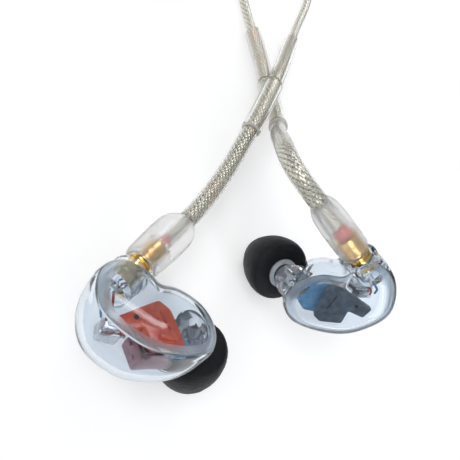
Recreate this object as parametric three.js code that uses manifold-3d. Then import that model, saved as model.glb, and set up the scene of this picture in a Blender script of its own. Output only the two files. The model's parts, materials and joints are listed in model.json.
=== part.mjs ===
// A pair of in-ear monitors with their detachable cable, in millimetres, +Z up.
// Each earpiece is drawn once in its own frame (x from the connector end to the nozzle end,
// y towards the cable, z out of the faceplate). The left one is the mirror twin of the right one.
// The pair stands on its foam tips; the cable crosses over itself, runs away in +Y and is coiled.
import * as THREE from 'three';
import { mergeVertices } from 'three/addons/utils/BufferGeometryUtils.js';
import Module from 'manifold-3d';

const wasm = await Module();
wasm.setup();

// ---- driving dimensions -------------------------------------------------------------------
const GAP = 0.3; // air kept between touching pieces
const SEAM = 0.25; // joint line between faceplate and shell

// Distances along the jack and the nozzle are measured from their centre or base along their axis.
const SHELL = {
  wall: 1.1,
  front: 3.8, // height of the faceplate's crown over the middle plane
  back: 10.9, // depth of the ear side
  split: 1.9, // plane where faceplate and shell meet
  centre: [0, 0.3],
  outline: [
    [10.9, 2.7], [9.4, 5.7], [6.5, 7.5], [1.8, 7.6], [-2.4, 5.9], [-5.2, 7.0], [-9.2, 6.5],
    [-11.1, 2.6], [-10.5, -2.2], [-8.1, -5.7], [-2.5, -7.3], [2.0, -6.9], [7.7, -3.8], [10.6, -0.6],
  ],
  outside: { samples: 38, rows: 12 },
  inside: { samples: 26, rows: 9 },
  crownPower: 2.4, // how late the faceplate side rounds off, and how sharply
  crownRound: 0.22,
  earPower: 3, // the same for the ear side
  earRound: 0.5,
};

const JACK = {
  centre: [-5.7, 8.6, 0],
  axis: [0.258, 0.925, 0.279],
  radius: 2.35, // collar of the barrel at the housing's mouth
  stem: 2.25,
  bore: 1.55,
  back: -4.6,
  mouth: 0.75,
  groove: { from: -2.4, to: -1.4, radius: 1.95 },
  boss: 3.45,
  bossBack: -6.5,
  wireHole: 1.1,
};
const RING = { inner: 1.3, outer: 1.85, from: -2.3, to: -1.5, slit: 0.8 };
const INSULATOR = { inner: 0.65, outer: 1.25, from: -4.5, to: -3.5 };
const CONTACT = { inner: 0.32, outer: 0.4, from: -5.6, to: -1.0 };
const NOZZLE = { base: [9.3, 6.1, -4.7], axis: [0.454, 0.173, -0.874], radius: 1.9, bore: 1.15, length: 9.5 };
const DAMPER = { inner: 0.45, outer: 0.85, from: 5.0, to: 8.4 };
const TIP = { radius: 6.75, length: 11.6, seat: 1.0, bore: 3.1 };
const CORE = {
  inner: NOZZLE.radius + GAP,
  outer: TIP.bore - GAP,
  collar: 3.15,
  start: TIP.seat - 0.55,
  end: 10.4,
};
const WOOFER = { size: [7.2, 4.8, 3.6], at: [2.9, -0.3, -4.9], turn: 0.64, spout: 0.7 };
const TWEETER = { size: [3.8, 2.8, 2.2], at: [-4.6, -1.8, -4.6], turn: 0.35, spout: 0.5 };
const CARRIER = {
  outline: [
    [-5.4, -3.6], [-3.2, -5.0], [-0.9, -2.6], [1.2, -5.0], [5.2, -3.2], [5.9, -1.4], [1.9, 3.3], [-0.4, 3.7],
  ],
  bottom: -0.6,
  thickness: 1.3,
  vent: [-2.7, -1.9, 0],
  ventRadius: 0.42,
};
const BOARD = {
  outline: [[0.8, 0.6], [5.0, -2.7], [7.7, -1.1], [8.2, 1.6], [5.4, 2.8], [3.6, 5.0], [0.2, 4.6]],
  bottom: -2.35,
  thickness: 0.7,
};
const LEAD_WIRE = { diameter: 0.45, start: -6.2 };
// The moulding is oval: its narrow side is a share of the wide one, less and less towards the cable.
const CONNECTOR = {
  length: 15.1,
  wide: 3.8,
  end: 2.1,
  bore: 2.3,
  depth: 6.5,
  ovalNear: 0.92,
  ovalFar: 0.76,
  ovalFrom: 2,
  ovalTo: 11,
};
const BARREL = { from: -3.2, to: 5.9, bore: 0.95, stem: 1.2, collar: 1.95, step: 1.25 };
const PIN = { radius: 0.25, from: -3.4, to: 5.4 };

const WIRE = { diameter: 3.6, sleeve: 4.5, upperSleeve: 3.9, gap: 2.2 * GAP, lead: 3.6, step: 6 };
const BRANCH = { diameter: 2.3 };
const MAIN = { diameter: 2.5 };

// How each earpiece lies: a point and two of its axes. Then the layout of the cable.
const CENTRE = [58.15, 1.75]; // middle of the two earpieces' footprint in the layout below
const RIGHT_POSE = { origin: [37.7, 0.95], x: [0.768, -0.611, 0.192], y: [0.619, 0.632, -0.466] };
const LEFT_POSE = { origin: [77.8, 0.3], x: [-0.603, -0.118, -0.789], y: [-0.487, 0.838, 0.247] };

// Formed wires, from the back of each connector to the end of their upper sleeve. The first two
// points of each are worked out from the connector. The right one passes over the left one.
const RIGHT_WIRE = [
  [62.3, 28.0, 7.6], [67.3, 33.8, 7.7], [72.0, 39.6, 7.9], [76.3, 45.0, 8.0], [80.1, 50.1, 8.0],
  [84.0, 55.2, 7.7], [88.6, 60.7, 6.2], [93.6, 66.6, 4.2], [98.5, 72.3, 2.4],
];
const LEFT_WIRE = [
  [61.5, 21.3, 29.1], [61.0, 24.9, 27.9], [62.6, 27.9, 25.9], [65.5, 30.6, 22.9], [69.5, 34.0, 18.6],
  [74.0, 37.2, 14.4], [78.5, 40.1, 10.4], [82.8, 43.4, 6.5], [85.3, 49.0, 3.7], [85.5, 55.0, 2.5],
  [85.4, 60.4, 2.35], [84.9, 66.0, 2.15], [83.9, 71.4, 2.05],
];
const LOWER_SLEEVE = { right: [0.405, 0.647], left: [0.54, 0.806] }; // share of the wire's length
const UPPER_SLEEVE = { right: [0.652, 1.0], left: [0.811, 1.0] };

// Branch cables on the table, up to their coil and from their coil to the splitter.
const RIGHT_BRANCH = [
  [98.85, 72.7, 2.3], [102.2, 77.2, 1.5], [105.6, 81.8, 1.25], [108.6, 86.2, 1.25], [111.2, 91.0, 1.25],
  [112.8, 96.2, 1.25], [113.3, 101.6, 1.25], [112.7, 107.0, 1.6],
];
const LEFT_BRANCH = [
  [83.82, 71.85, 2.0], [83.6, 77.0, 1.4], [83.2, 82.0, 1.25], [82.9, 87.0, 1.25], [83.3, 92.0, 1.25],
  [84.6, 97.0, 1.4], [86.6, 100.9, 1.9], [88.5, 102.9, 2.3],
];
const RIGHT_TAIL = [[88.1, 132.0, 8.4], [84.8, 132.0, 7.7], [81.0, 132.0, 5.4], [77.0, 132.0, 3.2],
  [73.0, 132.0, 2.5], [66.0, 132.0, 2.4], [57.2, 132.0, 2.4]];
const LEFT_TAIL = [[85.6, 129.7, 8.7], [82.4, 129.7, 7.4], [79.4, 129.7, 5.3], [76.4, 129.7, 3.4],
  [73.0, 129.7, 2.6], [66.0, 129.7, 2.4], [57.2, 129.7, 2.4]];
const BRANCH_COIL = { centre: [97, 118], inner: 10.5, outer: 15.2, base: 1.15, top: 9.8 };
const SPLITTER = { tail: 57.0, head: 43.0, y: 130.85, bottom: 0.05, height: 4.7 };
const CINCH = { centre: [68.5, 130.85, 2.4], size: [7, 7.4, 4.7] };
const MAIN_LEAD = [[42.7, 130.85, 2.4], [40.2, 130.6, 2.2], [37.6, 129.2, 1.8], [36.0, 126.6, 1.5],
  [35.5, 123.0, 1.4], [35.5, 118.6, 1.6], [35.8, 113.6, 2.0], [36.2, 109.0, 2.3]];
const MAIN_COIL = { centre: [58, 103], inner: 9.7, outer: 20.1, base: 1.15, top: 11.45 };
const PLUG_LEAD = { radius: 18.8, z: 13.0, turn: 6.8 };
const PLUG = { start: [68.4, 109.8, 16.7], radius: 3.6, contact: 1.75, core: 0.8 };
const TIE = { width: 5, thickness: 0.8, clear: 2.2 * GAP, lift: 0.02 };
const COIL_EDGE = 1.1; // chamfer of a coil's section
const FAR = 20; // reaches past any piece when one is cut

const COLOURS = {
  clear: [0xd6dde2, 0.08, 0.0], frosted: [0xcfd2d0, 0.35, 0.0], gold: [0xd9a95a, 0.25, 1.0],
  foam: [0x1c1f22, 0.95, 0.0], core: [0xb9bdc0, 0.4, 0.0], white: [0xe8e6df, 0.5, 0.0],
  red: [0xb8452c, 0.4, 0.1], slate: [0x4a5560, 0.4, 0.3], mauve: [0x6b4650, 0.35, 0.6],
  steel: [0x9a9ea3, 0.3, 0.9], blue: [0x6d9cc4, 0.4, 0.1], cable: [0xd8d8cc, 0.4, 0.0],
  tie: [0x2a2a2c, 0.8, 0.0], enamelRed: [0xa8322a, 0.4, 0.2], enamelBlue: [0x35609a, 0.4, 0.2],
};

// ---- geometry helpers ---------------------------------------------------------------------
const vec = (p) => new THREE.Vector3(...p);
const placed = (p) => new THREE.Vector3(p[0] - CENTRE[0], p[1] - CENTRE[1], p[2] ?? 0);
const jackAxis = vec(JACK.axis).normalize();
const nozzleAxis = vec(NOZZLE.axis).normalize();

function volume(geometry) {
  const p = geometry.attributes.position;
  const index = geometry.index;
  const corner = [new THREE.Vector3(), new THREE.Vector3(), new THREE.Vector3()];
  let sum = 0;
  for (let i = 0; i < index.count; i += 3) {
    corner.forEach((c, k) => c.fromBufferAttribute(p, index.getX(i + k)));
    sum += corner[0].dot(corner[1].cross(corner[2]));
  }
  return sum;
}

function flipped(geometry) {
  const index = geometry.index;
  for (let i = 0; i < index.count; i += 3) {
    const keep = index.getX(i);
    index.setX(i, index.getX(i + 1));
    index.setX(i + 1, keep);
  }
  return geometry;
}

// One closed body: vertices merged by position only, faces pointing out.
function closed(geometry) {
  const bare = geometry.clone();
  bare.deleteAttribute('normal');
  bare.deleteAttribute('uv');
  const merged = mergeVertices(bare, 1e-4);
  return volume(merged) < 0 ? flipped(merged) : merged;
}

function solid(geometry) {
  const g = closed(geometry);
  return new wasm.Manifold(new wasm.Mesh({
    numProp: 3,
    vertProperties: new Float32Array(g.attributes.position.array),
    triVerts: new Uint32Array(g.index.array),
  }));
}

function geometryOf(manifold) {
  const mesh = manifold.getMesh();
  const g = new THREE.BufferGeometry();
  g.setAttribute('position', new THREE.BufferAttribute(new Float32Array(mesh.vertProperties), 3));
  g.setIndex(new THREE.BufferAttribute(new Uint32Array(mesh.triVerts), 1));
  return closed(g);
}

// A turned piece: profile points are [distance along the axis, radius].
function turned(profile, from, axis, segments = 24) {
  const points = profile.map(([along, radius]) => new THREE.Vector2(radius, along));
  const g = new THREE.LatheGeometry(points, segments);
  g.applyQuaternion(new THREE.Quaternion().setFromUnitVectors(new THREE.Vector3(0, 1, 0), axis));
  return g.translate(from.x, from.y, from.z);
}

const rod = (radius, from, axis, start, end, segments = 24) =>
  turned([[start, 0], [start, radius], [end, radius], [end, 0]], from, axis, segments);

const pipe = (inner, outer, from, axis, start, end, segments = 24) =>
  turned([[start, inner], [start, outer], [end, outer], [end, inner], [start, inner]], from, axis, segments);

function round(radius, sides) {
  const shape = new THREE.Shape();
  for (let i = 0; i < sides; i += 1) {
    const a = (2 * Math.PI * i) / sides;
    if (i === 0) shape.moveTo(radius, 0);
    else shape.lineTo(radius * Math.cos(a), radius * Math.sin(a));
  }
  return shape;
}

function tube(curve, diameter, steps, sides = 8) {
  return new THREE.ExtrudeGeometry(round(diameter / 2, sides), { steps, extrudePath: curve });
}

const smooth = (points) => new THREE.CatmullRomCurve3(points, false, 'centripetal');

// The part of a curve between two shares of its length.
function stretch(curve, from, to, count = 7) {
  const points = [];
  for (let i = 0; i < count; i += 1) points.push(curve.getPointAt(from + ((to - from) * i) / (count - 1)));
  return smooth(points);
}

function block(size, at) {
  return new THREE.BoxGeometry(...size).translate(...at);
}

// A flat plate with an outline in x and y, standing on a level.
function plate(outline, bottom, thickness) {
  const shape = new THREE.Shape(outline.map(([x, y]) => new THREE.Vector2(x, y)));
  return new THREE.ExtrudeGeometry(shape, { depth: thickness, bevelEnabled: false }).translate(0, 0, bottom);
}

// ---- housing ------------------------------------------------------------------------------
// Levels of the outline from the faceplate's crown to the deepest point of the ear side. The
// outline keeps most of its size near the middle plane and rounds off towards both ends.
function housingForm(inset, { samples, rows }) {
  const loop = new THREE.CatmullRomCurve3(SHELL.outline.map(([x, y]) => new THREE.Vector3(x, y, 0)), true);
  const ring = loop.getSpacedPoints(samples).slice(0, samples);
  const [cx, cy] = SHELL.centre;
  const front = SHELL.front - inset;
  const back = SHELL.back - inset;
  const position = [cx, cy, front];
  const index = [];
  for (let row = 1; row < rows; row += 1) {
    const a = (Math.PI * row) / rows;
    const up = Math.cos(a);
    const z = up > 0 ? front * up : back * up;
    const size = up > 0
      ? (1 - up ** SHELL.crownPower) ** SHELL.crownRound
      : (1 - Math.abs(up) ** SHELL.earPower) ** SHELL.earRound;
    for (const p of ring) {
      const dx = p.x - cx;
      const dy = p.y - cy;
      const keep = (1 - inset / Math.hypot(dx, dy)) * size;
      position.push(cx + dx * keep, cy + dy * keep, z);
    }
  }
  position.push(cx, cy, -back);
  const last = 1 + (rows - 1) * samples;
  for (let i = 0; i < samples; i += 1) {
    const next = (i + 1) % samples;
    index.push(0, 1 + i, 1 + next);
    for (let row = 0; row < rows - 2; row += 1) {
      const a = 1 + row * samples;
      const b = a + samples;
      index.push(a + i, b + i, b + next, a + i, b + next, a + next);
    }
    index.push(last, last - samples + next, last - samples + i);
  }
  const g = new THREE.BufferGeometry();
  g.setAttribute('position', new THREE.Float32BufferAttribute(position, 3));
  g.setIndex(index);
  return g;
}

const halfSpace = (above, at) =>
  solid(block([3 * FAR, 3 * FAR, 2 * FAR], [0, 0, above ? at + FAR : at - FAR]));

function housingShells() {
  const jackAt = vec(JACK.centre);
  const nozzleAt = vec(NOZZLE.base);
  const form = solid(housingForm(0, SHELL.outside));
  const cavity = solid(housingForm(SHELL.wall, SHELL.inside));
  const boss = solid(turned([
    [JACK.bossBack, 0], [JACK.bossBack, 3.0], [-1.2, JACK.boss], [-0.7, 3.1], [-0.7, 0],
  ], jackAt, jackAxis));
  const jackBore = solid(rod(JACK.radius + GAP, jackAt, jackAxis, JACK.back - 2 * GAP, 5))
    .add(solid(rod(JACK.wireHole, jackAt, jackAxis, JACK.bossBack - 1, JACK.back - 0.4)));
  const bossRoom = solid(rod(JACK.boss + SEAM, jackAt, jackAxis, JACK.bossBack - 0.5, 6));
  const neck = solid(turned([
    [-4.6, 0], [-4.6, 3.3], [-2.6, 3.4], [-0.6, 2.6], [0.2, NOZZLE.radius], [NOZZLE.length, NOZZLE.radius],
    [NOZZLE.length, 0],
  ], nozzleAt, nozzleAxis));
  const soundBore = solid(rod(NOZZLE.bore, nozzleAt, nozzleAxis, -8.5, 12, 16));
  const tipRoom = solid(rod(TIP.radius + 0.4, nozzleAt, nozzleAxis, TIP.seat - 0.9, 14));
  const shell = form.subtract(tipRoom).add(neck).subtract(cavity.subtract(boss).subtract(neck))
    .add(boss).subtract(jackBore).subtract(soundBore);
  const open = form.subtract(cavity);
  return {
    body: geometryOf(shell.intersect(halfSpace(false, SHELL.split - SEAM / 2)
      .add(boss.subtract(jackBore)))),
    faceplate: geometryOf(open.intersect(halfSpace(true, SHELL.split + SEAM / 2)).subtract(bossRoom)),
  };
}

// ---- pieces of one earpiece, in its own frame -----------------------------------------------
function foamTip() {
  const { radius: r, length: end, seat, bore } = TIP;
  return turned([
    [seat, bore], [seat, 5.9], [seat + 0.35, 6.4], [seat + 1.2, r - 0.05], [seat + 2.5, r],
    [5.6, 6.45], [7.6, 5.8], [9.3, 4.95], [10.6, 4.15], [end - 0.3, 3.6], [end, bore + 0.15], [end - 0.4, bore],
    [seat, bore],
  ], vec(NOZZLE.base), nozzleAxis, 30);
}

function foamCore() {
  const { inner, outer, collar, start, end } = CORE;
  return turned([
    [start, inner], [start, collar], [TIP.seat - GAP, collar], [TIP.seat - GAP, outer], [end, outer],
    [end, inner], [start, inner],
  ], vec(NOZZLE.base), nozzleAxis);
}

function jackBarrel() {
  const { back, mouth, bore, stem, radius, groove } = JACK;
  return turned([
    [back, bore], [back, stem], [-0.2, stem], [-0.2, radius], [mouth, radius], [mouth, bore],
    [groove.to, bore], [groove.to, groove.radius], [groove.from, groove.radius], [groove.from, bore], [back, bore],
  ], vec(JACK.centre), jackAxis);
}

const alongJack = ({ inner, outer, from, to }, segments) =>
  pipe(inner, outer, vec(JACK.centre), jackAxis, from, to, segments);

// A split spring ring trapped in the jack's groove: it grips the plug and lets it swivel.
function retainingRing() {
  const [x, y, z] = JACK.centre;
  const slit = solid(block([RING.slit, 4, 4], [x + 1.2, y - 1.8, z - 2]));
  return geometryOf(solid(alongJack(RING)).subtract(slit));
}

// A driver can: a box with a raised lid and a spout on its nozzle end.
function driver({ size: [x, y, z], at, turn, spout }) {
  const can = solid(new THREE.BoxGeometry(x, y, z));
  const lid = solid(block([x - 0.8, y - 0.8, 0.5], [0, 0, z / 2 + 0.2]));
  const nose = solid(rod(spout, new THREE.Vector3(x / 2, 0, -z / 4), new THREE.Vector3(1, 0, 0), -0.4, 1.1, 16));
  return geometryOf(can.add(lid).add(nose)).rotateZ(turn).translate(...at);
}

// The carrier: a bent frame that clamps both drivers under the faceplate.
function driverCarrier() {
  const { outline, bottom, thickness, vent, ventRadius } = CARRIER;
  const hole = solid(rod(ventRadius, vec(vent), new THREE.Vector3(0, 0, 1), -3, 3, 14));
  return geometryOf(solid(plate(outline, bottom, thickness)).subtract(hole));
}

const crossoverBoard = () => plate(BOARD.outline, BOARD.bottom, BOARD.thickness);

const damper = () =>
  pipe(DAMPER.inner, DAMPER.outer, vec(NOZZLE.base), nozzleAxis, DAMPER.from, DAMPER.to, 16);

// One of the pair of enamelled wires from the jack towards the drivers; the sign picks its lane.
function leadWire(lane) {
  const start = vec(JACK.centre).addScaledVector(jackAxis, LEAD_WIRE.start);
  const points = [
    start.add(new THREE.Vector3(lane * 0.45, 0, 0)),
    new THREE.Vector3(-6.7 + lane * 0.6, 0.4, -2.0),
    new THREE.Vector3(-6.9 + lane * 0.6, -1.2, -2.1),
    new THREE.Vector3(-6.4 + lane * 0.5, -2.2, -2.6),
  ];
  return tube(smooth(points), LEAD_WIRE.diameter, 8, 6);
}

// ---- connector on the cable's end, on the jack's axis ----------------------------------------
// The moulding swivels on the jack, so one shows its wide side and the other its narrow side.
function connectorBody(side) {
  const { length, wide, end, bore, depth, ovalNear, ovalFar, ovalFrom, ovalTo } = CONNECTOR;
  const moulding = turned([
    [1.1, 0], [1.1, 3.0], [1.9, wide - 0.45], [4.5, wide - 0.25], [9.0, wide], [11.8, wide - 0.05],
    [13.4, wide - 0.5], [length - 0.7, wide - 1.1], [length, end], [length, 0],
  ], new THREE.Vector3(), new THREE.Vector3(0, 1, 0), 24);
  const p = moulding.attributes.position;
  for (let i = 0; i < p.count; i += 1) {
    const oval = THREE.MathUtils.mapLinear(
      THREE.MathUtils.clamp(p.getY(i), ovalFrom, ovalTo), ovalFrom, ovalTo, ovalNear, ovalFar,
    );
    if (side === 'left') p.setX(i, p.getX(i) * oval);
    else p.setZ(i, p.getZ(i) * oval);
  }
  const at = vec(JACK.centre);
  moulding.applyQuaternion(new THREE.Quaternion().setFromUnitVectors(new THREE.Vector3(0, 1, 0), jackAxis));
  moulding.translate(at.x, at.y, at.z);
  return geometryOf(solid(moulding).subtract(solid(rod(bore, at, jackAxis, 0, depth, 20))));
}

function connectorBarrel() {
  const { from, to, bore, stem, collar, step } = BARREL;
  return turned([
    [from, bore], [from, stem], [step, stem], [step, collar], [to, collar], [to, bore], [from, bore],
  ], vec(JACK.centre), jackAxis);
}

const connectorPin = () => rod(PIN.radius, vec(JACK.centre), jackAxis, PIN.from, PIN.to, 10);

// ---- scene graph ----------------------------------------------------------------------------
const pair = new THREE.Group();

function add(group, name, geometry, look) {
  const [color, roughness, metalness] = COLOURS[look];
  const mesh = new THREE.Mesh(closed(geometry), new THREE.MeshStandardMaterial({ color, roughness, metalness }));
  mesh.name = name;
  group.add(mesh);
}

const mirrored = (geometry) => geometry.clone().scale(1, 1, -1);

// Builds one earpiece in its pose and returns the first two points of its wire.
function earpiece(side, pose) {
  const group = new THREE.Group();
  const left = side === 'left';
  const put = (name, geometry, look) =>
    add(group, `${side}_${name}`, left ? mirrored(geometry) : geometry, look);
  const shells = housingShells();
  put('shell', shells.body, 'clear');
  put('faceplate', shells.faceplate, 'clear');
  put('jack_barrel', jackBarrel(), 'gold');
  put('jack_insulator', alongJack(INSULATOR, 16), 'white');
  put('jack_contact', alongJack(CONTACT, 14), 'gold');
  put('retaining_ring', retainingRing(), 'steel');
  put('woofer_driver', driver(WOOFER), 'mauve');
  put('tweeter_driver', driver(TWEETER), 'steel');
  put('driver_carrier', driverCarrier(), left ? 'slate' : 'red');
  put('crossover_board', crossoverBoard(), 'blue');
  put('sound_damper', damper(), 'steel');
  put('lead_wire_plus', leadWire(1), 'enamelRed');
  put('lead_wire_minus', leadWire(-1), 'enamelBlue');
  put('tip_core', foamCore(), 'core');
  put('foam_tip', foamTip(), 'foam');
  put('connector_body', connectorBody(side), 'frosted');
  put('connector_barrel', connectorBarrel(), 'gold');
  put('connector_pin', connectorPin(), 'gold');

  const x = vec(pose.x).normalize();
  const y = vec(pose.y).addScaledVector(x, -x.dot(vec(pose.y))).normalize();
  group.setRotationFromMatrix(new THREE.Matrix4().makeBasis(x, y, x.clone().cross(y)));
  group.position.copy(placed(pose.origin));
  pair.add(group);
  group.updateMatrixWorld(true);
  group.position.z -= new THREE.Box3().setFromObject(group, true).min.z; // stands on its foam tip
  group.updateMatrixWorld(true);
  const flip = new THREE.Vector3(1, 1, left ? -1 : 1);
  return [WIRE.gap, WIRE.lead].map((beyond) => group.localToWorld(
    vec(JACK.centre).addScaledVector(jackAxis, CONNECTOR.length + beyond).multiply(flip),
  ));
}

function formedWire(side, start, route) {
  const curve = smooth([...start, ...route.map(placed)]);
  const [low, high] = [LOWER_SLEEVE[side], UPPER_SLEEVE[side]];
  const part = (name, [from, to], diameter, look) => {
    const mid = stretch(curve, from, to);
    add(pair, `${side}_${name}`, tube(mid, diameter, Math.ceil(mid.getLength() / WIRE.step)), look);
  };
  part('formed_wire', [0, low[0] - 0.004], WIRE.diameter, 'cable'); // ends a hair before the sleeve
  part('lower_sleeve', low, WIRE.sleeve, 'clear');
  part('upper_sleeve', high, WIRE.upperSleeve, 'clear');
}

function cable(name, route, diameter, steps) {
  add(pair, name, tube(smooth(route.map(placed)), diameter, steps), 'cable');
}

function coil(name, { centre, inner, outer, base, top }) {
  const edge = COIL_EDGE;
  const at = placed(centre);
  const g = turned([
    [base, inner + edge], [base, outer - edge], [base + edge, outer], [top - edge, outer],
    [top, outer - edge], [top, inner + edge], [top - edge, inner], [base + edge, inner], [base, inner + edge],
  ], new THREE.Vector3(), new THREE.Vector3(0, 1, 0), 30);
  add(pair, name, g.rotateX(Math.PI / 2).translate(at.x, at.y, 0), 'cable');
}

// A strap looped round the bundle of turns, at an angle round the coil.
function tie(name, { centre, inner, outer, top }, angle) {
  const { width: along, thickness, clear, lift } = TIE;
  const middle = (inner + outer) / 2;
  const width = outer - inner + 2 * clear;
  const height = top - thickness + clear - lift;
  const level = height / 2 + thickness + lift;
  const outside = solid(block([width + 2 * thickness, along, height + 2 * thickness], [middle, 0, level]));
  const inside = solid(block([width, along + 2, height], [middle, 0, level]));
  const at = placed(centre);
  add(pair, name, geometryOf(outside.subtract(inside)).rotateZ(angle).translate(at.x, at.y, 0), 'tie');
}

// The Y splitter is widest where the two branches enter it.
function splitter() {
  const { tail, head, y, bottom, height } = SPLITTER;
  const at = placed([0, y]);
  const body = plate([
    [tail, -3.7], [tail - 6, -3.5], [head + 3, -2.4], [head, -2.0], [head, 2.0], [head + 3, 2.4],
    [tail - 6, 3.5], [tail, 3.7],
  ], bottom, height);
  add(pair, 'y_splitter', body.translate(at.x, at.y, 0), 'frosted');
}

// A slider with a slot for both branches side by side.
function cinch() {
  const [length, width, height] = CINCH.size;
  const gapWidth = 2 * BRANCH.diameter + 0.1 + 2 * GAP;
  const outer = solid(new THREE.BoxGeometry(length, width, height));
  const slot = solid(new THREE.BoxGeometry(length + 2, gapWidth, BRANCH.diameter + 2 * GAP));
  const at = placed(CINCH.centre);
  add(pair, 'cable_cinch', geometryOf(outer.subtract(slot)).translate(at.x, at.y, at.z), 'frosted');
}

// The last half turn on top of the coil, then a left turn towards the plug.
function plugLead() {
  const { radius, z, turn } = PLUG_LEAD;
  const [cx, cy] = MAIN_COIL.centre;
  const points = [];
  for (let a = 200; a <= 345; a += 29) {
    const t = (a * Math.PI) / 180;
    points.push([cx + radius * Math.cos(t), cy + radius * Math.sin(t), z]);
  }
  points.push([cx + radius, cy - 0.6, z + 0.4]);
  points.push([cx + radius - 1.0, cy + turn - 3.4, z + 1.1]);
  points.push([cx + radius - 3.6, cy + turn - 0.9, z + 1.8]);
  points.push([PLUG.start[0] + GAP + 1.5, PLUG.start[1], PLUG.start[2]]);
  points.push([PLUG.start[0] + GAP, PLUG.start[1], PLUG.start[2]]);
  cable('plug_lead', points, MAIN.diameter, 16);
}

function plug() {
  const at = placed(PLUG.start);
  const axis = new THREE.Vector3(-1, 0, 0);
  const { radius: r, contact, core } = PLUG;
  add(pair, 'plug_relief', turned([
    [0, 0], [0, 1.6], [2.5, 1.9], [7.7, 2.6], [7.7, 0],
  ], at, axis, 20), 'frosted');
  add(pair, 'plug_body', turned([
    [8.0, 0], [8.0, 2.8], [8.8, r], [20.0, r], [21.0, r - 0.6], [21.0, 0],
  ], at, axis, 28), 'frosted');
  add(pair, 'plug_sleeve', pipe(core + GAP, contact, at, axis, 21.3, 28.0, 20), 'gold');
  add(pair, 'plug_ring', pipe(core + GAP, contact, at, axis, 28.8, 31.0, 20), 'gold');
  add(pair, 'plug_insulation', rod(core, at, axis, 21.3, 31.6, 16), 'tie');
  add(pair, 'plug_tip', turned([
    [31.9, 0], [31.9, contact], [32.6, contact], [33.2, 1.2], [33.8, 1.7], [35.2, 0.5], [35.4, 0],
  ], at, axis, 20), 'gold');
}

const rightStart = earpiece('right', RIGHT_POSE);
const leftStart = earpiece('left', LEFT_POSE);
formedWire('right', rightStart, RIGHT_WIRE);
formedWire('left', leftStart, LEFT_WIRE);
cable('right_branch', RIGHT_BRANCH, BRANCH.diameter, 8);
cable('left_branch', LEFT_BRANCH, BRANCH.diameter, 8);
coil('branch_coil', BRANCH_COIL);
tie('branch_coil_tie', BRANCH_COIL, Math.PI / 5);
cable('right_tail', RIGHT_TAIL, BRANCH.diameter, 8);
cable('left_tail', LEFT_TAIL, BRANCH.diameter, 8);
cinch();
splitter();
cable('main_lead', MAIN_LEAD, MAIN.diameter, 8);
coil('main_coil', MAIN_COIL);
tie('main_coil_tie', MAIN_COIL, Math.PI / 2);
plugLead();
plug();

export default pair;
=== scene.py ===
# A pair of clear in-ear monitors with their cable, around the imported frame. Metres, +Z up.
import json
import math

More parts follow.
